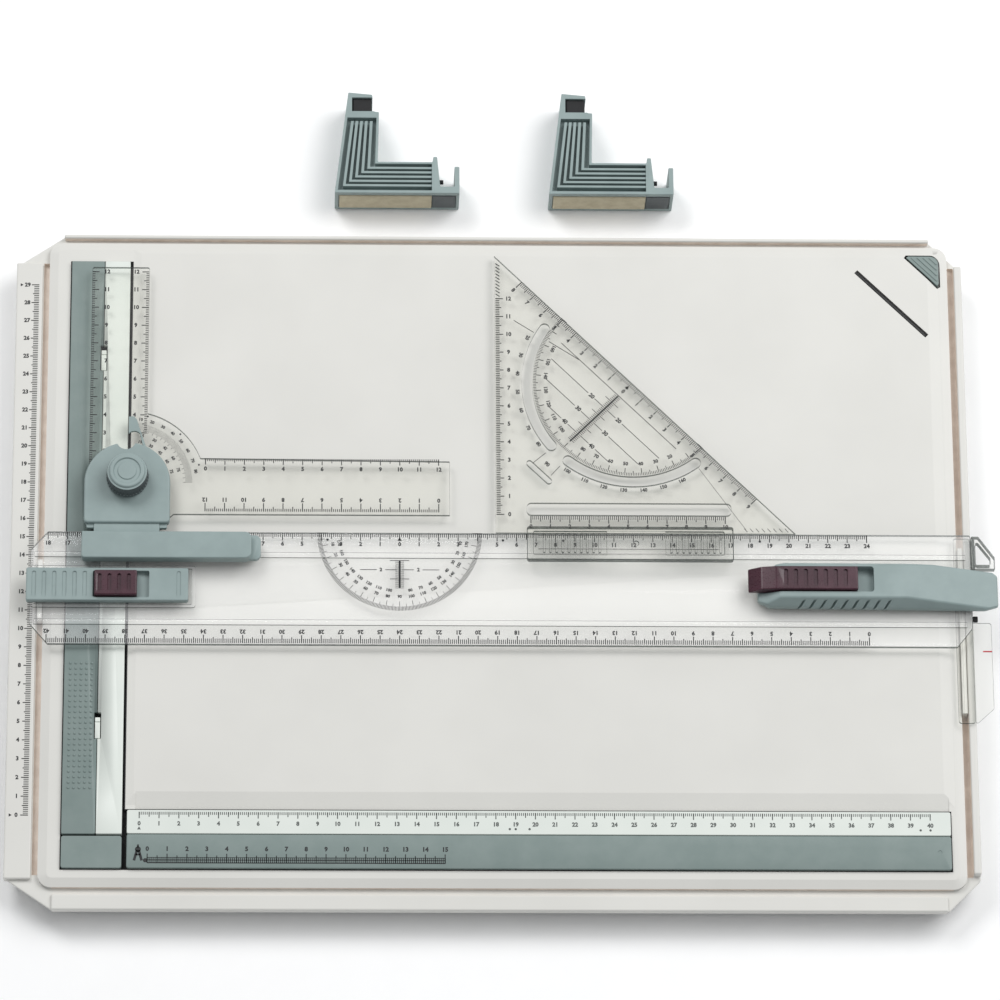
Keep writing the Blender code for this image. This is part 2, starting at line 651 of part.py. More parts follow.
# --- set square -----------------------------------------------------------------------------
def make_set_square():
    x, y = SQUARE_CORNER
    group = "set_square_carriage"
    outline = [(x, y), (x + SQUARE_LEG, y), (x, y + SQUARE_LEG)]
    plate("set_square", [outline], RULE_UNDER, RULE_UNDER + 2.0, "clear_acrylic", group)
    x0, x1, y0, y1 = GRIP
    wall = 1.2
    z0, z1 = RIB_TOP + GAP, 30.6
    grip = block("set_square_grip", (x0, x1, y0, y1, z0, z1), "clear_acrylic", group, bevel=0.5)
    cut(grip, guide_block(x0 + wall, x1 - wall, y0 + wall, y1 - wall, z0 - 1, z1 - wall))
    runner = (x0 + 6, x1 - 6, 141.4, 148.8, RULE_TOP + GAP, 28.6)
    block("set_square_runner", runner, "clear_acrylic", group, bevel=0.3)


# --- stands ---------------------------------------------------------------------------------
def stand_ribs(corner, count=6, pitch=3.0, thickness=1.0):
    """Nested L-shaped fins on the stand's top; the outer ones lean with its tapered arm."""
    cx, cy = corner
    fins = []
    for i in range(count):
        x = cx + 2.1 + i * pitch
        y = cy + 2.0 + i * 2.4
        right, end = cx + 51.0, cy + 41.6
        drift = 0.10 * (end - y) * (1 - i / 9)
        fin = [(x, y), (right, y), (right, y + thickness), (x + thickness, y + thickness)]
        fin += [(x + thickness + drift, end), (x + drift, end)]
        fins.append(guide_plate([fin], 14.0, STAND_HEIGHT - 1.0))
    return fins


def make_stand(side):
    cx, cy = STAND_CORNERS[side]
    group = f"{side}_stand"
    top = STAND_HEIGHT
    outline = [
        (cx, cy),
        (cx + 65.5, cy),
        (cx + 65.5, cy + 13.0),
        (cx + 62.8, cy + 13.0),
        (cx + 62.8, cy + 3.6),
        (cx + 54.8, cy + 3.6),
        (cx + 54.8, cy + 17.5),
        (cx + 51.8, cy + 17.5),
        (cx + 51.8, cy + 15.4),
        (cx + 21.6, cy + 15.4),
        (cx + 23.0, cy + 47.0),
        (cx + 21.8, cy + 57.0),
        (cx + 7.0, cy + 57.8),
    ]
    frame = plate(f"{side}_stand_frame", [outline], 0.0, top, "handle_gray", group)
    well = [
        (cx + 1.6, cy + 1.4),
        (cx + 51.6, cy + 1.4),
        (cx + 51.6, cy + 15.4 + 1.0),
        (cx + 20.6, cy + 15.4 + 1.0),
        (cx + 23.8, cy + 42.4),
        (cx + 6.4, cy + 42.4),
    ]
    cut(frame, guide_plate([well], 14.6, top + 1.0))
    cut(frame, guide_block(cx + 9.0, cx + 19.6, cy + 46.4, cy + 55.4, 6.0, top + 1.0))
    cut(frame, guide_block(cx + 2.0, cx + 63.8, cy - 1.0, cy + 1.1, 3.0, 19.0))
    join(frame, group_guide(stand_ribs((cx, cy))))
    z0, z1 = 3.4, 18.6
    pad = (cx + 2.4, cx + 51.0, cy - 0.6, cy + 0.8, z0, z1)
    block(f"{side}_stand_pad", pad, "pad_beige", group, bevel=0.2)
    panel = (cx + 51.4, cx + 63.4, cy - 0.3, cy + 0.8, z0, z1)
    block(f"{side}_stand_end_panel", panel, "dark_gray", group)
    rubber = (cx + 9.3, cx + 19.3, cy + 46.7, cy + 55.1, 6.3, top - 1.5)
    block(f"{side}_stand_rubber", rubber, "rubber_black", group, 0.3)
    pin = round_mesh(1.2, 2.0, 12)
    finish(pin, f"{side}_stand_pin", "rubber_black", (cx + 56.1, cy + 8.6, 16.5), group, smooth=True)
    pin.rotation_euler = (0.0, radians(90), 0.0)


def make_pivots():
    """One empty for each moving group, on its joint's axis."""
    make_pivot("board", *FRAME_CENTRE, 0.0)
    make_pivot("left_clamp", CLAMP_AXIS_X, (CLAMP_FRONT + CLAMP_REAR) / 2, CLAMP_UNDER, "board")
    make_pivot("rear_latch_body", CLAMP_SEAM_X, LATCH_Y[0] + LATCH_TAB / 2, CLAMP_TOP, "left_clamp")
    make_pivot("front_latch_body", CLAMP_SEAM_X, LATCH_Y[1] + LATCH_TAB / 2, CLAMP_TOP, "left_clamp")
    make_pivot("bottom_clamp", (BAR_LEFT + BAR_RIGHT) / 2, BAR_AXIS_Y, CLAMP_UNDER, "board")
    make_pivot("corner_clip", *CLIP_PIVOT, CLIP_PIN_Z, "board")
    make_pivot("straightedge_carriage", EDGE_LEFT, HANDLE_Y, RULE_UNDER, "board")
    make_pivot("left_lock", -12.0, HANDLE_Y, RULE_TOP, "straightedge_carriage")
    make_pivot("right_lock", 335.0, 122.6, RULE_TOP, "straightedge_carriage")
    make_pivot("head", *PIVOT, L_UNDER, "straightedge_carriage")
    make_pivot("l_ruler_swivel", *PIVOT, L_UNDER, "head")
    make_pivot("knob", *PIVOT, COVER_TOP, "head")
    make_pivot("set_square_carriage", *SQUARE_CORNER, RULE_UNDER, "straightedge_carriage")
    for side, corner in STAND_CORNERS.items():
        make_pivot(f"{side}_stand", *corner, 0.0, "board")


def main():
    global PARTS, GUIDES
    clear_scene()
    PARTS = make_collection("portable_drawing_board")
    GUIDES = make_collection("guides")
    make_pivots()
    make_board()
    make_clamp_hardware()
    make_left_clamp()
    make_bottom_clamp()
    make_corner_clip()
    make_straightedge()
    make_left_handle()
    make_right_handle()
    make_right_carriage()
    make_head()
    make_knob()
    make_l_ruler()
    make_set_square()
    for side in STAND_CORNERS:
        make_stand(side)


main()
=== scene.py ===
"""The looks of a portable drawing board: board, straightedge, drafting head, set square and stands.

Pieces are modelled in the drawing frame, in millimetres: x to the right and y away from the user,
both from the zero of the board's paper scales, and z up from the table. The zero is found from the
packed scale bar, so every piece follows the frame.
"""

from math import cos, degrees, radians, sin, sqrt

import bpy
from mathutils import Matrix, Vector


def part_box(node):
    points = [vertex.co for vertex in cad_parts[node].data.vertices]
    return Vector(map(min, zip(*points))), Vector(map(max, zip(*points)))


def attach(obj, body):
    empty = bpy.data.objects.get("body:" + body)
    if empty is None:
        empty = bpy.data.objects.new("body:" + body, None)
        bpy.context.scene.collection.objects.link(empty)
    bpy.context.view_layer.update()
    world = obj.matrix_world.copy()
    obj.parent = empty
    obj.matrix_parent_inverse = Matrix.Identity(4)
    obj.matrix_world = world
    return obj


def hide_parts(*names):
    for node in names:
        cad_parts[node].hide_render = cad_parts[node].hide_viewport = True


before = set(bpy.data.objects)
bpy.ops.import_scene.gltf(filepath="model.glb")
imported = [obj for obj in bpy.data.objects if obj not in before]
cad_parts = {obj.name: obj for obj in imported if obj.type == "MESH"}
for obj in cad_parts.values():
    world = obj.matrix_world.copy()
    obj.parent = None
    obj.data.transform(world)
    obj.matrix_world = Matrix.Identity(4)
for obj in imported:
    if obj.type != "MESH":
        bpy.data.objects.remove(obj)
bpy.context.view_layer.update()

MM = 0.001
SCALE_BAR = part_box("bottom_scale_bar")
ZERO = Vector((SCALE_BAR[0].x + 6.2 * MM, SCALE_BAR[1].y - 1.9 * MM, 0.0))


def spot(x, y, z):
    """A point of the drawing frame, in metres."""
    return ZERO + Vector((x, y, z)) * MM


def limits(node):
    """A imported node's x0, x1, y0, y1, z0, z1 in the drawing frame."""
    low, high = ((corner - ZERO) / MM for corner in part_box(node))
    return low.x, high.x, low.y, high.y, low.z, high.z


# --- finishes -------------------------------------------------------------------------------
def paint(hex_code):
    """An sRGB hex colour as linear RGBA."""
    parts = [int(hex_code[i : i + 2], 16) / 255 for i in (0, 2, 4)]
    linear = [c / 12.92 if c <= 0.04045 else ((c + 0.055) / 1.055) ** 2.4 for c in parts]
    return (*linear, 1.0)


def put(material, kind, values=None, **settings):
    """Adds a node; settings are its properties, values its inputs: a number, colour or socket."""
    made = material.node_tree.nodes.new("ShaderNode" + kind)
    for name, value in settings.items():
        setattr(made, name, value)
    for name, value in (values or {}).items():
        if isinstance(value, bpy.types.NodeSocket):
            material.node_tree.links.new(value, made.inputs[name])
        else:
            made.inputs[name].default_value = value
    return made


def new_material(name):
    material = bpy.data.materials.new(name)
    material.use_nodes = True
    material.node_tree.nodes.clear()
    return material


def moulded(name, colour, shade, roughness, grain=0.5, depth=0.02, patch=18.0):
    """Injection-moulded plastic: an even colour with faint flow mottling and a spark-eroded grain.

    grain is the size of the mould's texture, depth how deep it is and patch the size of the
    mottling between colour and shade, all in mm.
    """
    material = new_material(name)
    place = put(material, "TexCoord").outputs["Object"]
    flow = {"Vector": place, "Scale": 1 / (patch * MM), "Detail": 3.0, "Roughness": 0.55}
    flow = put(material, "TexNoise", flow).outputs["Fac"]
    blend = {"Value": flow, "From Min": 0.35, "From Max": 0.65}
    blend = put(material, "MapRange", blend).outputs["Result"]
    tone = {0: blend, 6: paint(colour), 7: paint(shade)}
    tone = put(material, "Mix", tone, data_type="RGBA").outputs[2]
    grit = {"Vector": place, "Scale": 1 / (grain * MM), "Detail": 2.0}
    grit = put(material, "TexNoise", grit).outputs["Fac"]
    sheen = {"Value": grit, "From Min": 0.3, "From Max": 0.7}
    sheen.update({"To Min": roughness - 0.05, "To Max": roughness + 0.05})
    sheen = put(material, "MapRange", sheen).outputs["Result"]
    bump = {"Height": grit, "Strength": 0.35, "Distance": depth * MM}
    bump = put(material, "Bump", bump).outputs["Normal"]
    shader = {"Base Color": tone, "Roughness": sheen, "Normal": bump}
    shader = put(material, "BsdfPrincipled", shader).outputs["BSDF"]
    put(material, "OutputMaterial", {"Surface": shader})
    return material


def acrylic(name, body, tint, haze, glance, roughness=0.06):
    """Clear moulded acrylic: light passes through its tint, and its own gloss shows more at a
    glancing angle. haze and glance are how much of it shows face on and edge on."""
    material = new_material(name)
    place = put(material, "TexCoord").outputs["Object"]
    wave = {"Vector": place, "Scale": 1 / (9.0 * MM), "Detail": 2.0}  # flow waves of about 9 mm
    wave = put(material, "TexNoise", wave).outputs["Fac"]
    bump = {"Height": wave, "Strength": 0.25, "Distance": 0.05 * MM}
    bump = put(material, "Bump", bump).outputs["Normal"]
    cloud = {"Value": wave, "From Min": 0.3, "From Max": 0.7}
    cloud.update({"To Min": roughness, "To Max": roughness + 0.05})
    cloud = put(material, "MapRange", cloud).outputs["Result"]
    surface = {"Base Color": paint(body), "Roughness": cloud, "Normal": bump}
    surface = put(material, "BsdfPrincipled", surface).outputs["BSDF"]
    through = put(material, "BsdfTransparent", {"Color": paint(tint)}).outputs["BSDF"]
    facing = put(material, "LayerWeight", {"Blend": 0.35}).outputs["Facing"]
    amount = {"Value": facing, "To Min": haze, "To Max": glance}
    amount = put(material, "MapRange", amount).outputs["Result"]
    # Light goes through to what lies below, so that only the tint of the edges throws a shadow.
    lit = {0: 1.0, 1: put(material, "LightPath").outputs["Is Shadow Ray"]}
    lit = put(material, "Math", lit, operation="SUBTRACT").outputs[0]
    amount = put(material, "Math", {0: amount, 1: lit}, operation="MULTIPLY").outputs[0]
    mixed = put(material, "MixShader", {0: amount, 1: through, 2: surface}).outputs["Shader"]
    put(material, "OutputMaterial", {"Surface": mixed})
    return material


def brushed_steel(name):
    """Drawn and lightly brushed spring steel: fine streaks along the wire or strip."""
    material = new_material(name)
    place = put(material, "TexCoord").outputs["Object"]
    stretched = put(material, "Mapping", {"Vector": place, "Scale": (0.06, 1.0, 1.0)})
    streak = {"Vector": stretched.outputs["Vector"], "Scale": 1 / (0.4 * MM), "Detail": 3.0}
    streak = put(material, "TexNoise", streak).outputs["Fac"]
    polish = put(material, "MapRange", {"Value": streak, "To Min": 0.22, "To Max": 0.42})
    tone = {0: streak, 6: paint("B9BABD"), 7: paint("D2D3D5")}
    tone = put(material, "Mix", tone, data_type="RGBA").outputs[2]
    shader = {"Base Color": tone, "Roughness": polish.outputs["Result"], "Metallic": 1.0}
    shader = put(material, "BsdfPrincipled", shader).outputs["BSDF"]
    put(material, "OutputMaterial", {"Surface": shader})
    return material


# High-impact styrene shell, warm white, finely textured so that pencil dust doesn't shine.
SHELL = moulded("moulded_styrene_warm_white", "D8D7D2", "D4D3CE", 0.48, 0.6, 0.015, 60.0)
# The same shell in its guide grooves and the channels by the deck, painted a warm tan: painted shade
# and bounce light, for the tone these deep, narrow grooves take on.
GROOVE = moulded("styrene_groove_painted_shade", "F0E6DC", "E3D7CC", 0.55, 0.8, 0.02, 7.0)
CLAMP = moulded("moulded_abs_cool_white", "DDE2DC", "D7DDD7", 0.40, 0.6, 0.012, 40.0)
# Grey-green ABS handles with a satin, spark-eroded grain; the clamps are a darker batch.
GRAY = moulded("moulded_abs_gray_green", "8E9E9D", "879796", 0.46, 0.45, 0.03, 14.0)
CLAMP_GRAY = moulded("moulded_abs_gray_clamp", "7F8D8A", "788784", 0.48, 0.45, 0.03, 14.0)
# Charcoal ABS for the stands' end caps and the head's base disc; on the knob's knurled side it is
# painted shade.
CHARCOAL_AND_KNOB_SHADE = moulded("abs_charcoal_and_painted_knob_shade", "4B5254", "43494B", 0.50, 0.45, 0.03, 10.0)
# Lock sliders: dark maroon ABS from a polished mould, with a soft gloss.
MAROON = moulded("polished_abs_maroon", "45222F", "391925", 0.30, 0.7, 0.008, 8.0)
RUBBER = moulded("moulded_nitrile_rubber", "17181A", "111214", 0.72, 0.5, 0.05, 6.0)
# Guesses for hidden pieces: white acetal guide shoes and a black nylon rocker and blade.
ACETAL = moulded("moulded_acetal_white", "E8E7E1", "E2E1DB", 0.40, 0.5, 0.01, 12.0)
# The same black is painted shade on the walls of the corner key's hole and slit, and the black rocker
# under the key darkens the view down that gap.
NYLON_AND_GAP_SHADE = moulded("nylon_black_and_painted_gap_shade", "1A1B1D", "131416", 0.50, 0.5, 0.03, 6.0)
# Closed-cell foam pad, cut from sheet: open pores about 0.9 mm wide.
FOAM = moulded("cut_eva_foam_beige", "CAC1A8", "BDB399", 0.88, 0.9, 0.10, 5.0)
INK = moulded("screen_printed_ink_black", "17181A", "202224", 0.55, 0.3, 0.005, 3.0)
PALE_INK = moulded("screen_printed_ink_gray", "4E5250", "5A5E5C", 0.55, 0.3, 0.005, 3.0)
RED_INK = moulded("screen_printed_ink_red", "B3202E", "A81C2A", 0.50, 0.3, 0.005, 3.0)
STEEL = brushed_steel("brushed_spring_steel")
CLEAR = acrylic("moulded_acrylic_clear", "FFFFFF", "FDFDFC", 0.02, 0.10)
# A white veil on the straightedge: painted sheen, for the white reflection of the straightedge over
# what lies under it.
SHEEN_ACRYLIC = acrylic("acrylic_clear_painted_sheen", "FFFFFF", "FFFFFF", 0.16, 0.24)
# The side walls of the clear parts are painted grey: painted shade and highlight, for the dark and
# bright lines that refraction draws along acrylic edges.
CLEAR_EDGE = acrylic("moulded_acrylic_edge", "5A5F5E", "A3A8A6", 0.35, 0.60, 0.10)


# --- modelling steps ------------------------------------------------------------------------
def pick(*objs):
    """Selects these objects alone; the last one is active."""
    bpy.ops.object.select_all(action="DESELECT")
    for obj in objs:
        obj.select_set(True)
        bpy.context.view_layer.objects.active = obj


def settle(name):
    """Names the object just made and puts its place into its mesh."""
    obj = bpy.context.active_object
    bpy.ops.object.transform_apply(location=True, rotation=True, scale=True)
    obj.name = name
    obj.data.name = name
    return obj


def slab(name, x0, x1, y0, y1, z0, z1):
    pick()
    middle = spot((x0 + x1) / 2, (y0 + y1) / 2, (z0 + z1) / 2)
    size = ((x1 - x0) * MM, (y1 - y0) * MM, (z1 - z0) * MM)
    bpy.ops.mesh.primitive_cube_add(size=1.0, location=middle, scale=size)
    return settle(name)


def drum(name, x, y, z0, z1, radius, top=None, sides=32):
    """A round blank; top is its upper radius where that differs."""
    pick()
    bpy.ops.mesh.primitive_cone_add(
        vertices=sides,
        radius1=radius * MM,
        radius2=(radius if top is None else top) * MM,
        depth=(z1 - z0) * MM,
        location=spot(x, y, (z0 + z1) / 2),
    )
    return settle(name)


def edit(obj):
    pick(obj)
    bpy.ops.object.mode_set(mode="EDIT")
    bpy.ops.mesh.select_all(action="SELECT")


def leave_edit():
    bpy.ops.object.mode_set(mode="OBJECT")


def panel(name, loops, z0, z1):
    """A plate cut to an outline of (x, y) points; further loops are holes in it."""
    curve = bpy.data.curves.new(name, "CURVE")
    curve.dimensions = "2D"
    curve.fill_mode = "BOTH"
    curve.extrude = (z1 - z0) * MM / 2
    for loop in loops:
        spline = curve.splines.new("POLY")
        spline.points.add(len(loop) - 1)
        for point, (x, y) in zip(spline.points, loop):
            point.co = (x * MM, y * MM, 0.0, 1.0)
        spline.use_cyclic_u = True
    flat = bpy.data.objects.new(name, curve)
    bpy.context.scene.collection.objects.link(flat)
    pick(flat)
    bpy.ops.object.convert(target="MESH")
    obj = bpy.context.active_object
    obj.location = spot(0.0, 0.0, (z0 + z1) / 2)
    settle(name)
    edit(obj)
    bpy.ops.mesh.remove_doubles(threshold=0.001 * MM)
    bpy.ops.mesh.dissolve_limited(angle_limit=radians(1))
    bpy.ops.mesh.normals_make_consistent(inside=False)
    leave_edit()
    return obj


def arc(x, y, radius, start, stop, steps):
    """Points on an arc, angles in degrees, both ends included."""
    angles = [radians(start + (stop - start) * i / steps) for i in range(steps + 1)]
    return [(x + radius * cos(a), y + radius * sin(a)) for a in angles]


def rounded(x0, x1, y0, y1, radius, steps=5):
    """A rectangle's outline with rounded corners."""
    loop = arc(x1 - radius, y1 - radius, radius, 0, 90, steps)
    loop += arc(x0 + radius, y1 - radius, radius, 90, 180, steps)
    loop += arc(x0 + radius, y0 + radius, radius, 180, 270, steps)
    return loop + arc(x1 - radius, y0 + radius, radius, 270, 360, steps)


def stadium(x0, y0, x1, y1, width, steps=8):
    """The outline of a slot with round ends whose centreline runs between two points."""
    length = sqrt((x1 - x0) ** 2 + (y1 - y0) ** 2)
    ux, uy = (x1 - x0) / length, (y1 - y0) / length
    loop = []
    for x, y, sign in ((x1, y1, 1), (x0, y0, -1)):
        for i in range(steps + 1):
            a = radians(-90 + 180 * i / steps)
            across, along = sign * sin(a) * width / 2, sign * cos(a) * width / 2
            loop.append((x + ux * along - uy * across, y + uy * along + ux * across))
    return loop


def trim(obj, point, normal):
    """Saws off the side that normal points to and closes the cut."""
    edit(obj)
    bpy.ops.mesh.bisect(plane_co=spot(*point), plane_no=normal, use_fill=True, clear_outer=True)
    leave_edit()
    return obj


def cap(name, radius, width, x0, x1, y0, y1, z0, z1):
    """A moulded plate with corners of this radius and edges rounded over this width."""
    return soften(panel(name, [rounded(x0, x1, y0, y1, radius)], z0, z1), width, 3)


def apply_modifier(obj, name):
    pick(obj)
    bpy.ops.object.modifier_apply(modifier=name)


def shade(obj, angle=30):
    """Smooth shading that breaks at real edges and stays even across flat faces."""
    pick(obj)
    bpy.ops.object.shade_smooth_by_angle(angle=radians(angle))
    evened = obj.modifiers.new("evened", "WEIGHTED_NORMAL")
    evened.keep_sharp = True
    apply_modifier(obj, "evened")
    return obj


def soften(obj, width, segments=2, angle=35):
    """Rounds every edge sharper than angle, as a mould does, and shades the rounding smooth."""
    rounding = obj.modifiers.new("rounding", "BEVEL")
    rounding.width = width * MM
    rounding.segments = segments
    rounding.limit_method = "ANGLE"
    rounding.angle_limit = radians(angle)
    rounding.miter_outer = "MITER_ARC"
    apply_modifier(obj, "rounding")
    return shade(obj)


def gather(name, objs):
    """Joins loose objects into one."""
    pick(*objs)
    if len(objs) > 1:
        bpy.ops.object.join()
    obj = bpy.context.active_object
    obj.name = name
    obj.data.name = name
    return obj


def combine(obj, tools, operation):
    tool = gather("tool", tools)
    boolean = obj.modifiers.new("combine", "BOOLEAN")
    boolean.operation = operation
    boolean.object = tool
    apply_modifier(obj, "combine")
    bpy.data.objects.remove(tool, do_unlink=True)
    return obj


def fuse(obj, *parts):
    for part in parts:
        combine(obj, [part], "UNION")
    return obj


def carve(obj, *tools):
    """Cuts away the tools, which don't touch each other."""
    return combine(obj, list(tools), "DIFFERENCE")


def repeat(obj, count, step):
    """Repeats a shape in a row, step mm apart."""
    row = obj.modifiers.new("row", "ARRAY")
    row.count = count
    row.use_relative_offset = False
    row.use_constant_offset = True
    row.constant_offset_displace = Vector(step) * MM
    apply_modifier(obj, "row")
    return obj


def tint(obj, material, inside):
    """Gives a second finish to the faces for whose centre and normal inside() is true."""
    obj.data.materials.append(material)
    index = len(obj.data.materials) - 1
    for face in obj.data.polygons:
        x, y, z = (face.center - ZERO) / MM
        if inside(x, y, z, face.normal):
            face.material_index = index


def fit(obj, body, material, slot, *nodes):
    """Gives a finished piece its finish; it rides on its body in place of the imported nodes."""
    obj.data.materials.clear()
    obj.data.materials.append(material)
    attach(obj, body)
    if nodes:
        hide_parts(*nodes)
    return obj


def fit_clear(obj, body, *nodes, face=CLEAR):
    """The same for a clear piece, whose side walls take the grey edge finish as painted shade and
    highlight.
    """
    fit(obj, body, face, "clear_acrylic", *nodes)
    tint(obj, CLEAR_EDGE, lambda x, y, z, normal: abs(normal.z) < 0.8)
    return obj


# --- printing -------------------------------------------------------------------------------
INK_DEPTH = 0.06  # ink film, drawn thicker than the real 0.02 mm so that it doesn't flicker
DIGIT_SIZE = 3.0  # text size whose digits stand about 2 mm high
INK_LINE = 0.35
FINE_LINE, HALF_LINE, WHOLE_LINE = 0.42, 0.46, 0.50  # a rule's marks
FILM_STEP = 0.02  # keeps a film that overlaps another one clear of it


def mark(x, y, width, length, turn=0.0):
    """One printed line in the print's own plane, centred on x, y."""
    pick()
    bpy.ops.mesh.primitive_cube_add(
        size=1.0,
        location=(x * MM, y * MM, 0.0),
        rotation=(0.0, 0.0, radians(turn)),
        scale=(width * MM, length * MM, INK_DEPTH * MM),
    )
    return settle("mark")


def mark_row(x, y, width, length, count, step):
    """Printed lines side by side along x, hanging below y, or standing on it if length < 0."""
    line = mark(x, y - length / 2, width, abs(length))
    return repeat(line, count, (step, 0.0, 0.0))


def mark_fan(x, y, inner, outer, start, stop, step, width):
    """Printed lines that point at x, y, from angle start to stop in degrees."""
    a = radians(start)
    middle = (inner + outer) / 2
    line = mark(x + middle * cos(a), y + middle * sin(a), width, outer - inner, start - 90)
    count = round(abs(stop - start) / step)
    edit(line)
    bpy.ops.mesh.spin(
        steps=count,
        dupli=True,
        angle=radians(stop - start),
        center=(x * MM, y * MM, 0.0),
        axis=(0.0, 0.0, -1.0),
    )
    leave_edit()
    return line


def figure(text, x, y, turn=0.0, size=DIGIT_SIZE):
    """A printed number centred on x, y."""
    pick()
    bpy.ops.object.text_add(location=(x * MM, y * MM, 0.0), rotation=(0.0, 0.0, radians(turn)))
    obj = bpy.context.active_object
    obj.data.body = str(text)
    obj.data.size = size * MM
    obj.data.align_x = "CENTER"
    obj.data.align_y = "CENTER"
    obj.data.extrude = INK_DEPTH * MM / 2
    obj.data.offset = 0.045 * size * MM
    obj.data.resolution_u = 2
    return obj


def dot(x, y, radius=0.6, sides=16, turn=0.0):
    """A printed spot, or with three sides a small arrow."""
    pick()
    bpy.ops.mesh.primitive_cylinder_add(
        vertices=sides,
        radius=radius * MM,
        depth=INK_DEPTH * MM,
        location=(x * MM, y * MM, 0.0),
        rotation=(0.0, 0.0, radians(turn)),
    )
    return settle("dot")


def rule_marks(length, fine, half, whole):
    """Millimetre, half-centimetre and centimetre lines of a rule that starts at the origin."""
    return [
        mark_row(0, 0, FINE_LINE, fine, length + 1, 1),
        mark_row(5, 0, HALF_LINE, half, length // 10, 10),
        mark_row(0, 0, WHOLE_LINE, whole, length // 10 + 1, 10),
    ]


def numbers(count, y, size=DIGIT_SIZE):
    """The numbers of a rule's centimetres, from 0."""
    return [figure(i, i * 10, y, size=size) for i in range(count)]


def dial_figure(text, x, y, radius, angle, facing, size):
    """A printed number on a circle round x, y, turned by facing from its radius."""
    a = radians(angle)
    return figure(text, x + radius * cos(a), y + radius * sin(a), angle + facing, size)


def lay(name, shapes, x, y, z, turn=0.0):
    """Makes one film of ink of all shapes and lays it on a surface at height z."""
    texts = [shape for shape in shapes if shape.type == "FONT"]
    if texts:
        pick(*texts)
        bpy.ops.object.convert(target="MESH")
        bpy.ops.object.transform_apply(location=True, rotation=True, scale=True)
    film = gather(name, shapes)
    film.rotation_euler = (0.0, 0.0, radians(turn))
    film.location = spot(x, y, z + INK_DEPTH / 2 - 0.01)
    pick(film)
    bpy.ops.object.transform_apply(location=True, rotation=True, scale=True)
    edit(film)
    bpy.ops.mesh.remove_doubles(threshold=0.002 * MM)
    leave_edit()
    return film


# --- board ----------------------------------------------------------------------------------
DECK_TOP = 19.0  # the surround of the drawing surface, a little below it
LEDGE = 17.5
SKIRT = 15.2
GROOVE_FLOOR = 12.5
POCKET_FLOOR = 16.0
LEFT_GROOVE, RIGHT_GROOVE = (-53.9, -50.9), (418.3, 421.6)  # from x to x
GROOVE_RUN = (-31.0, 303.0)  # from y to y
ABOVE = 30.0  # clear of the board, for cutters that come from the top
HALF_SQUARE = sqrt(0.5)
FEET = [f"foot_{end}_{side}" for end in ("front", "rear") for side in ("left", "right")]


def clip_point(across, along):
    """A point from the corner rocker's pin: across towards the board's corner, along the slit."""
    x0, x1, y0, y1, _, _ = limits("corner_pin")
    x, y = (x0 + x1) / 2, (y0 + y1) / 2
    return x + (across + along) * HALF_SQUARE, y + (across - along) * HALF_SQUARE


def clip_outline(across0, across1, along0, along1):
    corners = ((across0, along0), (across0, along1), (across1, along1), (across1, along0))
    return [clip_point(across, along) for across, along in corners]


def corner_key_outline(grow):
    """The corner key's triangle with its outer corner rounded, larger by grow for its hole."""
    x0, x1, y0, y1, _, _ = limits("corner_key")
    radius = 4.5
    loop = arc(x1 - radius, y1 - radius, radius + grow, 0, 90, 8)
    left, front = x0 - 1.2 * grow, y0 - 1.2 * grow
    loop += [(left + 1.9, y1 + grow), (left + 0.8, y1 - 0.8)]
    return loop + [(x1 - 0.8, front + 0.8), (x1 + grow, front + 1.9)]


def raise_top(obj, inset, lift):
    """Insets the top face and lifts it, which leaves a slope all round."""
    edit(obj)
    bpy.ops.mesh.select_all(action="DESELECT")
    bpy.ops.mesh.select_mode(type="FACE")
    leave_edit()
    top = max(obj.data.polygons, key=lambda face: face.center.z)
    top.select = True
    bpy.ops.object.mode_set(mode="EDIT")
    bpy.ops.mesh.inset(thickness=inset * MM)
    bpy.ops.transform.translate(value=(0.0, 0.0, lift * MM))
    bpy.ops.mesh.select_mode(type="VERT")
    leave_edit()
    return obj


def pocket_outline(gap, inner_gap):
    """The L-shaped pocket of both clamps and the corner block."""
    x0, x1 = limits("left_clamp_grip")[0] - gap, limits("bottom_scale_bar")[1] + gap
    y0, y1 = limits("bottom_clamp_grip")[2] - gap, limits("left_clamp_edge")[3] + gap
    inner_x = limits("left_clamp_edge")[1] + inner_gap
    inner_y = limits("bottom_scale_bar")[3] + inner_gap * 0.6
    return [(x0, y0), (x1, y0), (x1, inner_y), (inner_x, inner_y), (inner_x, y1), (x0, y1)]


def draft_sides(obj, size, inset):
    """Draws the lower rim in by inset on all sides."""
    low = min(vertex.co.z for vertex in obj.data.vertices)
    edit(obj)
    bpy.ops.mesh.select_all(action="DESELECT")
    leave_edit()
    rim = [vertex for vertex in obj.data.vertices if vertex.co.z < low + 0.1 * MM]
    for vertex in rim:
        vertex.select = True
    centre = sum((vertex.co for vertex in rim), Vector()) / len(rim)
    bpy.ops.object.mode_set(mode="EDIT")
    ratio = (1 - 2 * inset / size[0], 1 - 2 * inset / size[1], 1.0)
    bpy.ops.transform.resize(value=ratio, center_override=centre)
    leave_edit()


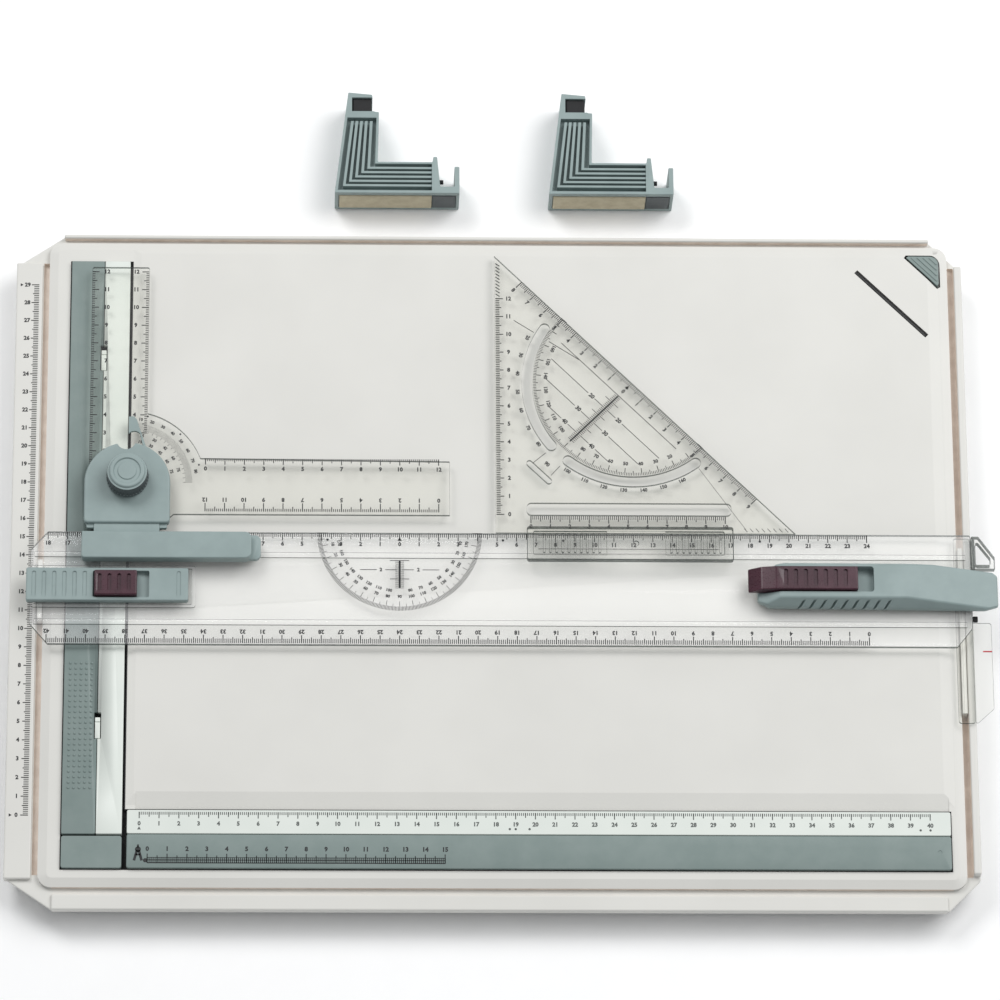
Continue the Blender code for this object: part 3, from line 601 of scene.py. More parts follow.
def make_board():
    x0, x1, y0, y1, z0, top = limits("drawing_board")
    cut_x, cut = 24.0, 16.5
    outline = [(x0 + cut_x, y0), (x1 - cut, y0), (x1, y0 + cut), (x1, y1 - cut)]
    outline += [(x1 - cut, y1), (x0 + cut_x, y1), (x0, y1 - cut), (x0, y0 + cut)]
    board = panel("board_moulding", [outline], z0, SKIRT)
    draft_sides(board, (x1 - x0, y1 - y0), 3.0)
    soften(board, 0.9, 3)
    outline = rounded(LEFT_GROOVE[1], RIGHT_GROOVE[0], -38.0, 313.8, 7.0, 6)
    deck = panel("deck", [outline], 13.0, LEDGE)
    raise_top(deck, 4.6, DECK_TOP - LEDGE)

    # The drawing surface stands proud of the deck, with a slope on each side.
    pad = slab("surface", -7.0, 413.2, 3.2, 309.6, 14.0, top)
    rise = top - DECK_TOP
    slopes = (
        ((0.0, 3.2, DECK_TOP - 0.3), (0.0, -rise - 0.3, 7.6)),
        ((413.2, 0.0, DECK_TOP), (rise, 0.0, 5.6)),
        ((-7.0, 0.0, DECK_TOP), (-rise, 0.0, 4.0)),
        ((0.0, 309.6, DECK_TOP), (0.0, rise, 3.0)),
    )
    for point, normal in slopes:
        trim(pad, point, Vector(normal).normalized())

    left_ledge = soften(slab("left_ledge", x0, -54.4, -33.5, 302.5, 12.0, LEDGE), 0.7)
    right_rail = soften(slab("right_rail", RIGHT_GROOVE[1], x1, -30.5, 302.6, 12.0, top), 0.9, 3)
    rear_rail = soften(slab("rear_rail", -43.5, 409.0, 315.9, y1, 12.0, 19.4), 0.8, 3)
    front_rail = soften(slab("front_rail", -43.8, 408.4, y0, -41.2, 12.0, 16.8), 0.9, 3)
    fuse(board, deck, pad, left_ledge, right_rail, rear_rail, front_rail)

    # The underside is a grid of open cells, with bosses for the feet and lugs for the clip's pin.
    rib, wall_top = 3.0, 14.0
    cell_x, cell_y = 46.5, 45.0
    columns, rows = 10, 8
    cell = slab("cell", -47.0, -47.0 + cell_x - rib, -45.0, -45.0 + cell_y - rib, 0.0, wall_top)
    repeat(cell, columns, (cell_x, 0.0, 0.0))
    repeat(cell, rows, (0.0, cell_y, 0.0))
    carve(board, cell)
    for node in FEET:
        fx0, fx1, fy0, fy1, _, fz1 = limits(node)
        fuse(board, drum("boss", (fx0 + fx1) / 2, (fy0 + fy1) / 2, fz1 + 0.3, 14.6, 12.0, 11.5))
    for along in (-9.5, 9.5):
        lug = clip_outline(-3.0, 3.0, along - 1.5, along + 1.5)
        fuse(board, panel("lug", [lug], 8.7, 14.6))

    # Guide grooves, the clamp pocket, the key's hole and the slit of the corner clip.
    left_groove = slab("left_groove", *LEFT_GROOVE, *GROOVE_RUN, GROOVE_FLOOR, ABOVE)
    right_groove = slab("right_groove", *RIGHT_GROOVE, *GROOVE_RUN, GROOVE_FLOOR, ABOVE)
    carve(board, left_groove, right_groove)
    carve(board, panel("pocket", [pocket_outline(0.6, 1.5)], POCKET_FLOOR, ABOVE))
    # A long slope leads from the drawing surface down to the bottom clamp.
    slope = slab("front_slope", -2.0, 410.0, 2.0, 12.0, top - 2.4, ABOVE)
    trim(slope, (0.0, 12.0, top), Vector((0.0, 1.7, -8.8)).normalized())
    carve(board, slope)
    slit = clip_outline(-12.8, -10.4, -25.6, 25.6)
    key_hole = panel("key_hole", [corner_key_outline(0.9)], 0.0, ABOVE)
    carve(board, key_hole, panel("slit", [slit], 0.0, ABOVE))
    shade(board, 9)
    fit(board, "board", SHELL, "shell_white", "drawing_board")

    def in_groove(x, y, z, normal):
        """The side grooves, and the channels in front of and behind the deck, where shade is painted.
        """
        side = any(low - 0.1 < x < high + 0.1 for low, high in (LEFT_GROOVE, RIGHT_GROOVE))
        side = side and GROOVE_RUN[0] - 0.5 < y < GROOVE_RUN[1] + 0.5
        channel = (-41.3 < y < -37.9 or 313.7 < y < 316.0) and -44 < x < 409
        return z < LEDGE - 0.6 and (side or channel)

    def in_corner(x, y, z, normal):
        """The walls of the key's hole and of the slit, painted black: painted shade for these deep
        gaps.
        """
        return 340.0 < x < 412.0 and 250.0 < y < 311.0 and z > 13.5 and abs(normal.z) < 0.3

    # Painted shade: the grooves and channels take the warm tan for the shade and bounce light deep in
    # them.
    tint(board, GROOVE, in_groove)
    # Painted shade: the walls of the key's hole and slit take black for the shade in these gaps.
    tint(board, NYLON_AND_GAP_SHADE, in_corner)

    # A black lining in the pocket darkens the gaps round the clamps.
    outlines = [pocket_outline(0.55, 1.45), pocket_outline(0.2, 0.9)]
    lining = panel("pocket_lining", outlines, POCKET_FLOOR + 0.05, 19.2)
    floor = [pocket_outline(0.4, 1.2)]
    fuse(lining, panel("lining_floor", floor, POCKET_FLOOR + 0.02, POCKET_FLOOR + 0.22))
    fit(lining, "board", RUBBER, "rubber_black")

    x0, x1, y0, y1, z0, z1 = limits("corner_block")
    block = panel("corner_cover", [rounded(x0, x1, y0, y1 - 0.4, 1.2)], z0, z1)
    soften(block, 0.35)
    fit(block, "board", CLAMP_GRAY, "handle_gray", "corner_block")


def print_ledge_scale():
    """The 0 to 29 cm scale on the left ledge, in bold black."""
    marks = lay("ledge_marks", rule_marks(290, -2.6, -3.2, -3.9), -56.2, 0.0, LEDGE, 90)
    figures = [figure(i, -62.2, i * 10) for i in range(30)]
    figures += [dot(-65.4, y, 1.0, 3, -90.0) for y in (0.0, 290.0)]
    figures = lay("ledge_figures", figures, 0.0, 0.0, LEDGE)
    fit(gather("ledge_scale", [marks, figures]), "board", INK, "rubber_black")


# --- clamps and corner clip -----------------------------------------------------------------
WINDOW_LENGTH = 14.1  # of a latch's window, from the latch's near end


def latch_windows(z):
    """Cutters for the windows that the two latches slide in."""
    windows = []
    for node in ("rear_latch", "front_latch"):
        x0, x1, y0, _, _, _ = limits(node)
        outline = rounded(x0 - 0.5, x1 + 0.5, y0 - 0.4, y0 + WINDOW_LENGTH, 0.5, 3)
        windows.append(panel("window", [outline], 10.0, z + 5.0))
    return windows


def make_left_clamp():
    x0, x1, y0, y1, z0, z1 = limits("left_clamp_grip")
    grip = cap("left_clamp_cover", 0.8, 0.4, x0, x1, y0, y1, z0 + 1.1, z1)
    carve(grip, *latch_windows(z1))
    # Five columns of raised dots for the thumb.
    bead = drum("bead", -36.1, 13.4, z1 - 0.2, z1 + 0.55, 0.95, 0.4, 10)
    repeat(bead, 5, (2.75, 0.0, 0.0))
    repeat(bead, 24, (0.0, 2.9, 0.0))
    soften(bead, 0.2, 1)
    grip = gather("left_clamp_cover", [bead, grip])
    fit(grip, "left_clamp", CLAMP_GRAY, "handle_gray", "left_clamp_grip")
    edge = limits("left_clamp_edge")
    edge = carve(cap("left_clamp_strip", 0.6, 0.5, *edge), *latch_windows(edge[5]))
    fit(edge, "left_clamp", CLAMP, "clamp_white", "left_clamp_edge")
    for node in ("rear_latch", "front_latch"):
        x0, x1, y0, y1, z0, z1 = limits(node)
        tab = soften(slab(node + "_tab", x0, x1, y0, y1, z0, z1), 0.25)
        carve(tab, slab("notch", x0 - 1, x1 + 1, y1 - 3.4, y1 - 2.2, z1 - 0.5, z1 + 1))
        fit(tab, node, CLAMP, "clamp_white", node)
        far = y0 + WINDOW_LENGTH - 0.05
        well = slab(node + "_well", x0 - 0.45, x1 + 0.45, y0 - 0.35, far, z0 - 1.0, z0 - 0.7)
        soften(well, 0.1, 1)
        fit(well, "left_clamp", RUBBER, "rubber_black")


def make_bottom_clamp():
    x0, x1, y0, y1, z0, z1 = limits("bottom_clamp_grip")
    grip = cap("bottom_clamp_cover", 1.2, 0.4, x0, x1, y0, y1, z0 + 1.1, z1)
    carve(grip, drum("dimple", 404.5, -19.5, z1 - 0.25, z1 + 1.0, 1.0, 1.6, 20))
    fit(grip, "bottom_clamp", CLAMP_GRAY, "handle_gray", "bottom_clamp_grip")
    bar = cap("bottom_scale_strip", 0.9, 0.4, *limits("bottom_scale_bar"))
    fit(bar, "bottom_clamp", CLAMP, "clamp_white", "bottom_scale_bar")

    shapes = rule_marks(400, 1.5, 2.6, 3.4) + numbers(41, -6.2)
    shapes += [dot(0.0, -8.8, 1.1, 3)]
    shapes += [dot(x, -8.6, 0.6) for x in (187.0, 190.0, 197.0, 395.0, 400.0)]
    scale = lay("bottom_scale", shapes, 0.0, 0.8, limits("bottom_scale_bar")[5])
    fit(scale, "bottom_clamp", PALE_INK, "rubber_black")

    # The compass scale: a comb with a pivot hole, for setting a pair of compasses.
    shapes = rule_marks(150, -3.0, -4.0, -4.9)
    shapes += [mark(75.0, y, 150.0, width) for y, width in ((0.1, 0.5), (1.6, 0.4), (2.9, 0.3))]
    shapes += numbers(16, 7.4, 3.2)
    shapes += [mark(-5.9, 4.0, 1.3, 5.6, -15), mark(-3.5, 4.0, 1.3, 5.6, 15)]
    shapes += [dot(-4.7, 7.2, 1.5), mark(-4.7, 8.9, 1.0, 1.6), mark(-4.7, 4.4, 2.4, 0.9)]
    shapes += [dot(-1.0, 1.4, 1.1)]
    comb = lay("compass_scale", shapes, 4.3, -26.2, z1)
    fit(comb, "bottom_clamp", INK, "rubber_black")


def make_corner_clip():
    z0, z1 = limits("corner_key")[4:]
    key = soften(panel("corner_key_cap", [corner_key_outline(0.0)], z0, z1 - 0.4), 0.4, 2)
    ridges = []
    for i in range(4):
        across = 14.2 + i * 2.2
        reach = 23.6 - across
        outline = clip_outline(across, across + 1.1, -1.1 - reach, reach - 1.1)
        ridge = panel("ridge", [outline], z1 - 1.0, z1)
        ridges.append(soften(ridge, 0.3))
    key = gather("corner_key_cap", ridges + [key])
    fit(key, "corner_clip", CLAMP_GRAY, "handle_gray", "corner_key")


# --- straightedge ---------------------------------------------------------------------------
HANDLE_LIP = (-57.0, 27.2, 108.6, 131.2)  # the lip moulded round the left handle
RIB_RISE = 1.0  # of the ribs and the lip above the blade
SCREW_LINE = 120.7  # the y of the handles' screws
SCREW_HOLE_TOP = 29.2  # the holes go in from below


def make_straightedge():
    x0, x1, y0, y1, z0, rib_top = limits("straightedge")
    top = rib_top - RIB_RISE
    outline = [(x0 + 9.4, y0), (x1 - 8.2, y0), (x1, y0 + 10.4), (x1, y1)]
    outline += [(x0 + 8.8, y1), (x0, y1 - 9.8), (x0, y0 + 11.0)]
    blade = soften(panel("straightedge_blade", [outline], z0, top), 0.5)
    for front in (136.0, 99.4):
        rib = slab("rib", x0 + 2.2, x1 - 3.0, front, front + 3.0, top - 0.6, rib_top)
        soften(rib, 0.35)
        fuse(blade, rib)
    outlines = [rounded(*HANDLE_LIP, 1.6), rounded(-55.4, 25.4, 110.4, 129.6, 0.8)]
    lip = panel("lip", outlines, top - 0.6, rib_top)
    soften(lip, 0.35)
    fuse(blade, lip)
    fit_clear(blade, "straightedge_carriage", "straightedge", face=SHEEN_ACRYLIC)


def print_straightedge():
    _, _, y0, y1, _, rib_top = limits("straightedge")
    top = rib_top - RIB_RISE
    # Lower scale: 0 at the right, read from the far side of the board.
    shapes = rule_marks(420, 2.4, 3.2, 4.4) + numbers(43, -6.3)
    lower = lay("lower_scale", shapes, 371.4, y0 + 0.6, top, 180)

    # Upper scale: 0 in the middle of the protractor, counted both ways.
    left, right, zero = 180, 240, 131.4
    shapes = rule_marks(left + right, 2.2, 3.1, 4.1)
    shapes += [figure(abs(i), left + i * 10, -6.0) for i in range(-18, 25) if abs(i) != 4]
    shapes += [dot(left, -3.4, 1.3, 3)]
    shapes += [dot(left + x, -3.6, 0.65) for x in (-37.0, 53.0, 84.0, 185.0)]
    upper = lay("upper_scale", shapes, zero - left, y1 - 0.5, top)

    # The protractor under the zero, its ring drawn degree by degree, and a comb in its middle.
    shapes = [
        mark_fan(0, 0, 40.0, 42.3, 180, 360, 1, 0.3),
        mark_fan(0, 0, 38.6, 40.0, 180, 360, 5, 0.2),
        mark_fan(0, 0, 37.2, 40.0, 180, 360, 10, 0.25),
    ]
    for value in range(10, 180, 10):
        both = ((value, 34.9), (180 - value, 31.6)) if value != 90 else ((value, 34.6),)
        for number, radius in both:
            shapes.append(dial_figure(number, 0, 0, radius, 180 + value, -270, 2.2))
    shapes += [
        mark_row(-2.0, -15.0, 0.1, 15.0, 9, 0.5),
        mark(0, -22.5, 0.9, 15.0),
        repeat(mark(0, -15.0, 4.4, 0.12), 16, (0.0, -1.0, 0.0)),
        mark(0, -15.0, 9.8, INK_LINE),
        mark(0, -25.0, 9.8, INK_LINE),
    ]
    for side in (-1, 1):
        shapes.append(mark(side * 4.4, -20.0, 5.8, INK_LINE))
        shapes.append(mark(side * 16.0, -20.0, 8.6, INK_LINE))
        shapes.append(figure(2, side * 9.6, -20.0, size=2.6))
    protractor = lay("protractor", shapes, zero, y1 - 0.4, top + FILM_STEP)
    film = gather("straightedge_scales", [lower, upper, protractor])
    fit(film, "straightedge_carriage", INK, "rubber_black")


def screw_holes(z0, *places):
    """Cutters for the holes that the handle screws sit in."""
    return [drum("hole", x, SCREW_LINE, z0 - 1, SCREW_HOLE_TOP, 1.7, sides=24) for x in places]


def finger_grooves(count, first, step, y0, y1, width, top, depth, steps=8):
    """Cutters for a row of round-ended grooves across a handle."""
    outlines = [stadium(first + i * step, y0, first + i * step, y1, width, steps) for i in range(count)]
    return [panel("groove", [outline], top - depth, top + 3) for outline in outlines]


def make_left_handle():
    x0, x1, y0, y1, z0, z1 = limits("left_handle")
    left, front = x0 - 2.2, y0 - 1.5
    handle = cap("left_handle_cover", 0.9, 0.7, left, x1, front, y1, z0, z1)
    well = panel("well", [rounded(-25.2, 3.6, 112.8, 127.2, 0.8)], 26.4, z1 + 5)
    grooves = finger_grooves(6, -55.2, 5.18, front + 2.9, y1 - 3.0, 2.2, z1, 0.5, 5)
    grooves += finger_grooves(1, 18.6, 0.0, front + 2.9, y1 - 3.0, 2.2, z1, 0.4, 5)
    carve(handle, well, *screw_holes(z0, -45.0, 12.0), *grooves)
    fit(shade(handle), "straightedge_carriage", GRAY, "handle_gray", "left_handle")

    x0, x1, y0, y1, z0, z1 = limits("left_lock_slider")
    x0, y0 = x0 - 1.5, y0 - 1.4
    slider = cap("left_lock_button", 0.8, 0.7, x0, x1, y0, y1, z0, z1)
    carve(slider, *finger_grooves(4, x0 + 2.8, 4.95, y0 + 3.2, y1 - 3.0, 2.0, z1, 1.0))
    fit(shade(slider), "left_lock", MAROON, "lock_maroon", "left_lock_slider")
    x0, x1, y0, y1, z0, z1 = limits("left_lock_spring")
    spring = soften(slab("left_lock_leaf", x0, x1 - 5.5, y0, y1, z0, z1), 0.1, 1)
    fit(spring, "straightedge_carriage", STEEL, "steel", "left_lock_spring")


def make_right_handle():
    x0, x1, y0, y1, z0, z1 = limits("right_handle")
    outline = [(x0 + 11.0, 109.2), (431.0, y0), (x1, y0 + 2.0), (x1, 126.6), (435.4, 128.6)]
    outline += [(391.0, 132.6), (328.0, y1), (x0 + 5.0, 126.0), (x0 + 5.0, 112.2)]
    handle = panel("right_handle_cover", [outline], z0, z1)
    trim(handle, (0.0, 109.2, 29.2), Vector((0.0, -0.82, 0.57)))
    trim(handle, (0.0, 132.2, 31.0), Vector((0.0, 0.85, 0.5)))
    trim(handle, (x0 + 5.0, 0.0, 28.6), Vector((-0.45, 0.0, 0.89)))
    trim(handle, (391.0, 0.0, z1), Vector((0.13, 0.0, 0.99)))
    soften(handle, 0.9, 3, 8)
    well = panel("well", [rounded(300.0, 373.8, 115.8, 129.5, 1.6)], 29.0, z1 + 5)
    # Nine slanted grooves let into the near side.
    groove = slab("groove", 335.8, 337.2, 104.0, 111.9, z0 + 1.2, z1 - 1.2)
    repeat(groove, 9, (5.5, 0.0, 0.0))
    lean(groove, 0.55)
    carve(handle, well, groove, *screw_holes(z0, 382.0, 410.0))
    soften(handle, 0.15, 2, 40)
    fit(handle, "straightedge_carriage", GRAY, "handle_gray", "right_handle")

    x0, x1, y0, y1, z0, z1 = limits("right_lock_lever")
    lever = slab("right_lock_button", x0, x1 + 4.0, y0, y1, z0, z1)
    trim(lever, (x0 + 1.6, 0.0, z0 + 2.4), Vector((-0.56, 0.0, 0.83)))
    trim(lever, (x0 + 14.0, 0.0, z1), Vector((-0.17, 0.0, 0.985)))
    soften(lever, 0.6, 3, 8)
    carve(lever, *finger_grooves(7, 328.6, 5.1, y0 + 2.6, y1 - 2.6, 2.1, z1, 1.0))
    fit(shade(lever), "right_lock", MAROON, "lock_maroon", "right_lock_lever")


def lean(obj, amount):
    """Slides each level of a mesh along x, so that upright shapes slant."""
    heights = [vertex.co.z for vertex in obj.data.vertices]
    middle = (min(heights) + max(heights)) / 2
    for vertex in obj.data.vertices:
        vertex.co.x += (vertex.co.z - middle) * amount


def make_right_carriage():
    x0, x1, y0, y1, z0, z1 = limits("right_carriage")
    base = limits("paper_edge_flap")[4]
    outline = [(x0, y0), (x1, y0), (x1, y0 + 6.4), (x1 - 8.2, y1), (x0, y1)]
    window = [(x0 + 2.2, y0 + 2.4), (x1 - 2.4, y0 + 2.4), (x1 - 2.4, y0 + 5.8)]
    window += [(x0 + 3.4, y1 - 3.6), (x0 + 2.2, y1 - 3.6)]
    bracket = soften(panel("right_bracket", [outline, window], base, z1), 0.5)
    fuse(bracket, soften(slab("skirt", x0 + 0.8, x0 + 2.2, y0, y1, z0, base + 1.0), 0.3))
    rib = soften(slab("bracket_rib", x0 + 2.6, x1 - 2.8, y0 + 0.3, y0 + 1.4, z1 - 0.4, z1 + 0.6), 0.25)
    fuse(bracket, rib)
    fit_clear(bracket, "straightedge_carriage", "right_carriage")

    x0, x1, y0, y1, z0, z1 = limits("right_guide_tail")
    tail = soften(panel("right_guide_strip", [rounded(x0, x1, y0, y1, 1.4)], z0, z1), 0.3)
    bead = soften(slab("bead", x0 + 3.0, x0 + 4.2, y0 + 1.5, y1 - 3.0, z1 - 0.3, z1 + 0.25), 0.2)
    fuse(tail, bead)
    fit_clear(tail, "straightedge_carriage", "right_guide_tail")

    x0, x1, y0, y1, z0, z1 = limits("friction_pad")
    block = soften(slab("friction_block", x0, x0 + 2.6, y0, y1, z0, z1), 0.3)
    fit(block, "straightedge_carriage", RUBBER, "rubber_black", "friction_pad")

    x0, x1, y0, y1, z0, z1 = limits("paper_edge_flap")
    outline = [(x0, y0), (x0 + 1.2, y0), (x1, y0 + 7.6), (x1, y1 - 0.8), (x1 - 0.8, y1), (x0, y1)]
    flap = soften(panel("paper_edge_leaf", [outline], z0, z1), 0.25)
    fit_clear(flap, "straightedge_carriage", "paper_edge_flap")


# --- drafting head --------------------------------------------------------------------------
PIVOT = tuple((limits("head_spindle")[i] + limits("head_spindle")[i + 1]) / 2 for i in (0, 2))


def knurl(obj, count, width, radius, z0, z1):
    """Cuts count upright grooves round a knob."""
    x, y = PIVOT
    tool = drum("tool", x + radius, y, z0, z1, width / 2, sides=6)
    edit(tool)
    turn = radians(360 * (count - 1) / count)
    centre = spot(x, y, 0.0)
    bpy.ops.mesh.spin(steps=count - 1, dupli=True, angle=turn, center=centre, axis=(0, 0, 1))
    leave_edit()
    return carve(obj, tool)


def make_head():
    px, py = PIVOT
    x0, x1, y0, y1, z0, z1 = limits("head_slider_bar")
    front, rear, high = y0 - 2.9, y1 - 2.4, z1 + 2.4
    outline = [(x0 - 1.4, front + 1.0), (x0 - 1.4, rear)] + arc(52.2, rear - 3.4, 3.4, 90, 0, 6)
    outline += arc(52.2, front + 3.4, 3.4, 0, -90, 6) + [(x0 - 0.4, front)]
    bar = soften(panel("slider_bar_cover", [outline], z0, high), 0.7, 3)
    foot = [(x0 + 2, front + 0.5), (x0 + 2, rear - 0.5)] + arc(x1 - 3.0, rear - 3.6, 3.0, 90, 0, 5)
    foot += arc(x1 - 3.0, front + 3.6, 3.0, 0, -90, 5)
    fuse(bar, soften(panel("bar_foot", [foot], z0, z1 - 1.6), 0.4))
    fit(bar, "head", GRAY, "handle_gray", "head_slider_bar")

    # The cover is arched at the back and square at the front, with a notch to read the angle in.
    x0, x1, y0, y1, z0, z1 = limits("head_cover")
    left, right = px - 22.2, px + 21.8
    outline = arc(px - 0.2, py - 2.0, 22.0, 0, 180, 40)
    outline += arc(left + 2.0, 154.8, 2.0, 180, 270, 5) + arc(right - 2.0, 154.8, 2.0, 270, 360, 5)
    cover = panel("head_cover_shell", [outline], z0, z1)
    soften(cover, 1.1, 4, 30)
    carve(cover, drum("notch", px - 1.0, 198.0, z0 - 2, z1 + 2, 5.0, sides=40))
    rim = panel("rim", [rounded(left + 1.4, right - 1.4, 150.6, 154.4, 0.8)], z0 + 0.2, z1 - 2.2)
    fuse(cover, soften(rim, 0.3))
    tongue = soften(slab("tongue", -25.2, 8.4, 147.8, 153.6, z0 + 0.6, z1 - 1.5), 0.4)
    fuse(cover, tongue)
    soften(cover, 0.12, 2, 50)
    fit(cover, "head", GRAY, "handle_gray", "head_cover")

    # The pointer: a fin with a straight left edge on the pivot's line and a hole at its foot.
    z0, z1 = limits("index_pointer")[4:]
    fin = [(px, 204.6)] + arc(px + 3.0, 200.6, 3.9, 140, 40, 8) + [(px + 7.2, 197.2)]
    fin += [(px + 9.6, 194.4), (px + 5.6, 206.4), (px + 4.2, 211.0)]
    fin += arc(px + 2.0, 211.2, 1.6, 20, 120, 4) + [(px, 212.6)]
    pointer = soften(panel("pointer_fin", [fin], z0, z1), 0.2)
    fit(pointer, "head", GRAY, "handle_gray", "index_pointer")


def make_knob():
    px, py = PIVOT
    z0, z1 = limits("head_knob")[4:]
    knob = soften(drum("knob_body", px, py, z0, z1 - 1.2, 10.9, 10.3, 96), 0.5)
    knurl(knob, 40, 1.1, 10.9, z0 + 1.4, z1 + 1)
    cap = soften(drum("knob_cap", px, py, z1 - 3.0, z1, 9.7, 8.9, 64), 0.7, 4)
    carve(cap, drum("dish", px, py, z1 - 0.7, z1 + 1, 6.6, 7.8, 64))
    hub = soften(drum("hub", px, py, z1 - 1.6, z1 - 0.15, 5.0, 4.7, 48), 0.3, 3)
    fuse(knob, cap, hub)
    soften(knob, 0.12, 2, 45)
    fit(knob, "knob", GRAY, "handle_gray", "head_knob")
    # Painted shade: the knurled side below the cap takes the charcoal finish, for the shadow on that
    # side under light from above.
    tint(knob, CHARCOAL_AND_KNOB_SHADE, lambda x, y, z, normal: abs(normal.z) < 0.5 and z < z1 - 1.3)


def make_l_ruler():
    px, py = PIVOT
    _, x1, y0, y1, z0, z1 = limits("l_ruler")
    # Two arms with a quarter disc about the pivot between them, cut away round the knob's cover.
    foot = y0 + 2.8
    outline = [(x1, foot), (x1, foot + 29.7)] + arc(px, py, 39.5, 20.2, 76.0, 24)
    outline += arc(px + 8.6, y1 - 1.0, 1.0, 0, 90, 4) + arc(px - 19.1, y1 - 1.0, 1.0, 90, 180, 4)
    outline += arc(px, py, 20.1, 180, 290, 30) + [(12.4, y0), (15.4, foot)]
    plate = soften(panel("l_ruler_plate", [outline], z0, z1), 0.3)
    fit_clear(plate, "l_ruler", "l_ruler")


def print_l_ruler():
    px, py = PIVOT
    z1 = limits("l_ruler")[5]
    shapes = rule_marks(120, 1.5, 2.4, 3.4) + numbers(13, -5.7)
    top = lay("arm_top_scale", shapes, 31.5, 190.3, z1)
    shapes = rule_marks(120, 1.5, 2.6, 4.6) + numbers(13, -6.5)
    bottom = lay("arm_bottom_scale", shapes, 151.5, 161.2, z1, 180)
    # The upright arm is numbered away from the head up to 12, its right edge from 4.
    left = lay("arm_left_scale", rule_marks(110, 1.5, 2.6, 3.6), px - 20.1, 184.2, z1, 90)
    right = lay("arm_right_scale", rule_marks(90, -1.5, -2.6, -3.6), 1.2, 204.2, z1, 90)
    figures = [figure(i, -20.6, 174.2 + 10 * i) for i in range(1, 13)]
    figures += [figure(i, -5.4, 174.2 + 10 * i) for i in range(4, 13)]
    # Quarter protractor, read from the upright arm round to the other.
    shapes = [mark_fan(px, py, 29.5, 33.0, 0, 90, 1, 0.1), mark_fan(px, py, 28.4, 29.6, 0, 90, 5, 0.2)]
    shapes += [dial_figure(i, px, py, 35.2, 90 - i, -90, 2.2) for i in range(10, 90, 10)]
    for radius in (26.6, 23.0):
        shapes += [dial_figure(i, px, py, radius, 90 - i, -90, 2.2) for i in range(15, 90, 15)]
    for a in (radians(15), radians(45), radians(75)):
        shapes.append(dot(px + 37.6 * cos(a), py + 37.6 * sin(a), 0.5))
    ring = lay("ruler_protractor", shapes + figures, 0.0, 0.0, z1 + FILM_STEP)
    film = gather("l_ruler_scales", [top, bottom, left, right, ring])
    fit(film, "l_ruler", INK, "rubber_black")


# --- set square -----------------------------------------------------------------------------
ARC_CENTRE = (251.9, 233.8)  # of its protractor and slots, on the long edge


def make_set_square():
    x0, x1, y0, y1, z0, z1 = limits("set_square")
    outline = [(x0, y0), (x1, y0), (x0, y1)]
    loops = [outline, stadium(198.4, 189.3, 208.4, 179.5, 3.0)]
    loops.append(rounded(196.8, 302.2, 160.7, 167.3, 2.4))
    for start, stop in ((143.0, 222.3), (229.1, 309.2)):
        loops.append(curved_slot(*ARC_CENTRE, 54.5, 5.4, start, stop))
    plate = panel("set_square_plate", loops, z0, z1)
    soften(plate, 0.35)
    domes = []
    for x, y in ((220.6, 230.6), (248.4, 201.4)):
        dome = drum("dome", x, y, z1 - 0.3, z1 + 1.0, 4.9, 1.6, 40)
        domes.append(soften(dome, 0.5, 3, 10))
    fuse(plate, *domes)
    fit_clear(plate, "set_square", "set_square")


def curved_slot(x, y, radius, width, start, stop):
    """A slot's outline bent round x, y, its round ends inside the angles."""
    half = width / 2
    lead = degrees(half / radius)
    first, last = start + lead, stop - lead

    def end(angle, turned):
        a = radians(angle)
        centre = (x + radius * cos(a), y + radius * sin(a))
        return arc(*centre, half, angle + turned, angle + turned + 180, 8)[1:-1]

    outer = arc(x, y, radius + half, first, last, 28)
    inner = arc(x, y, radius - half, last, first, 28)
    return outer + end(last, 0) + inner + end(first, 180)


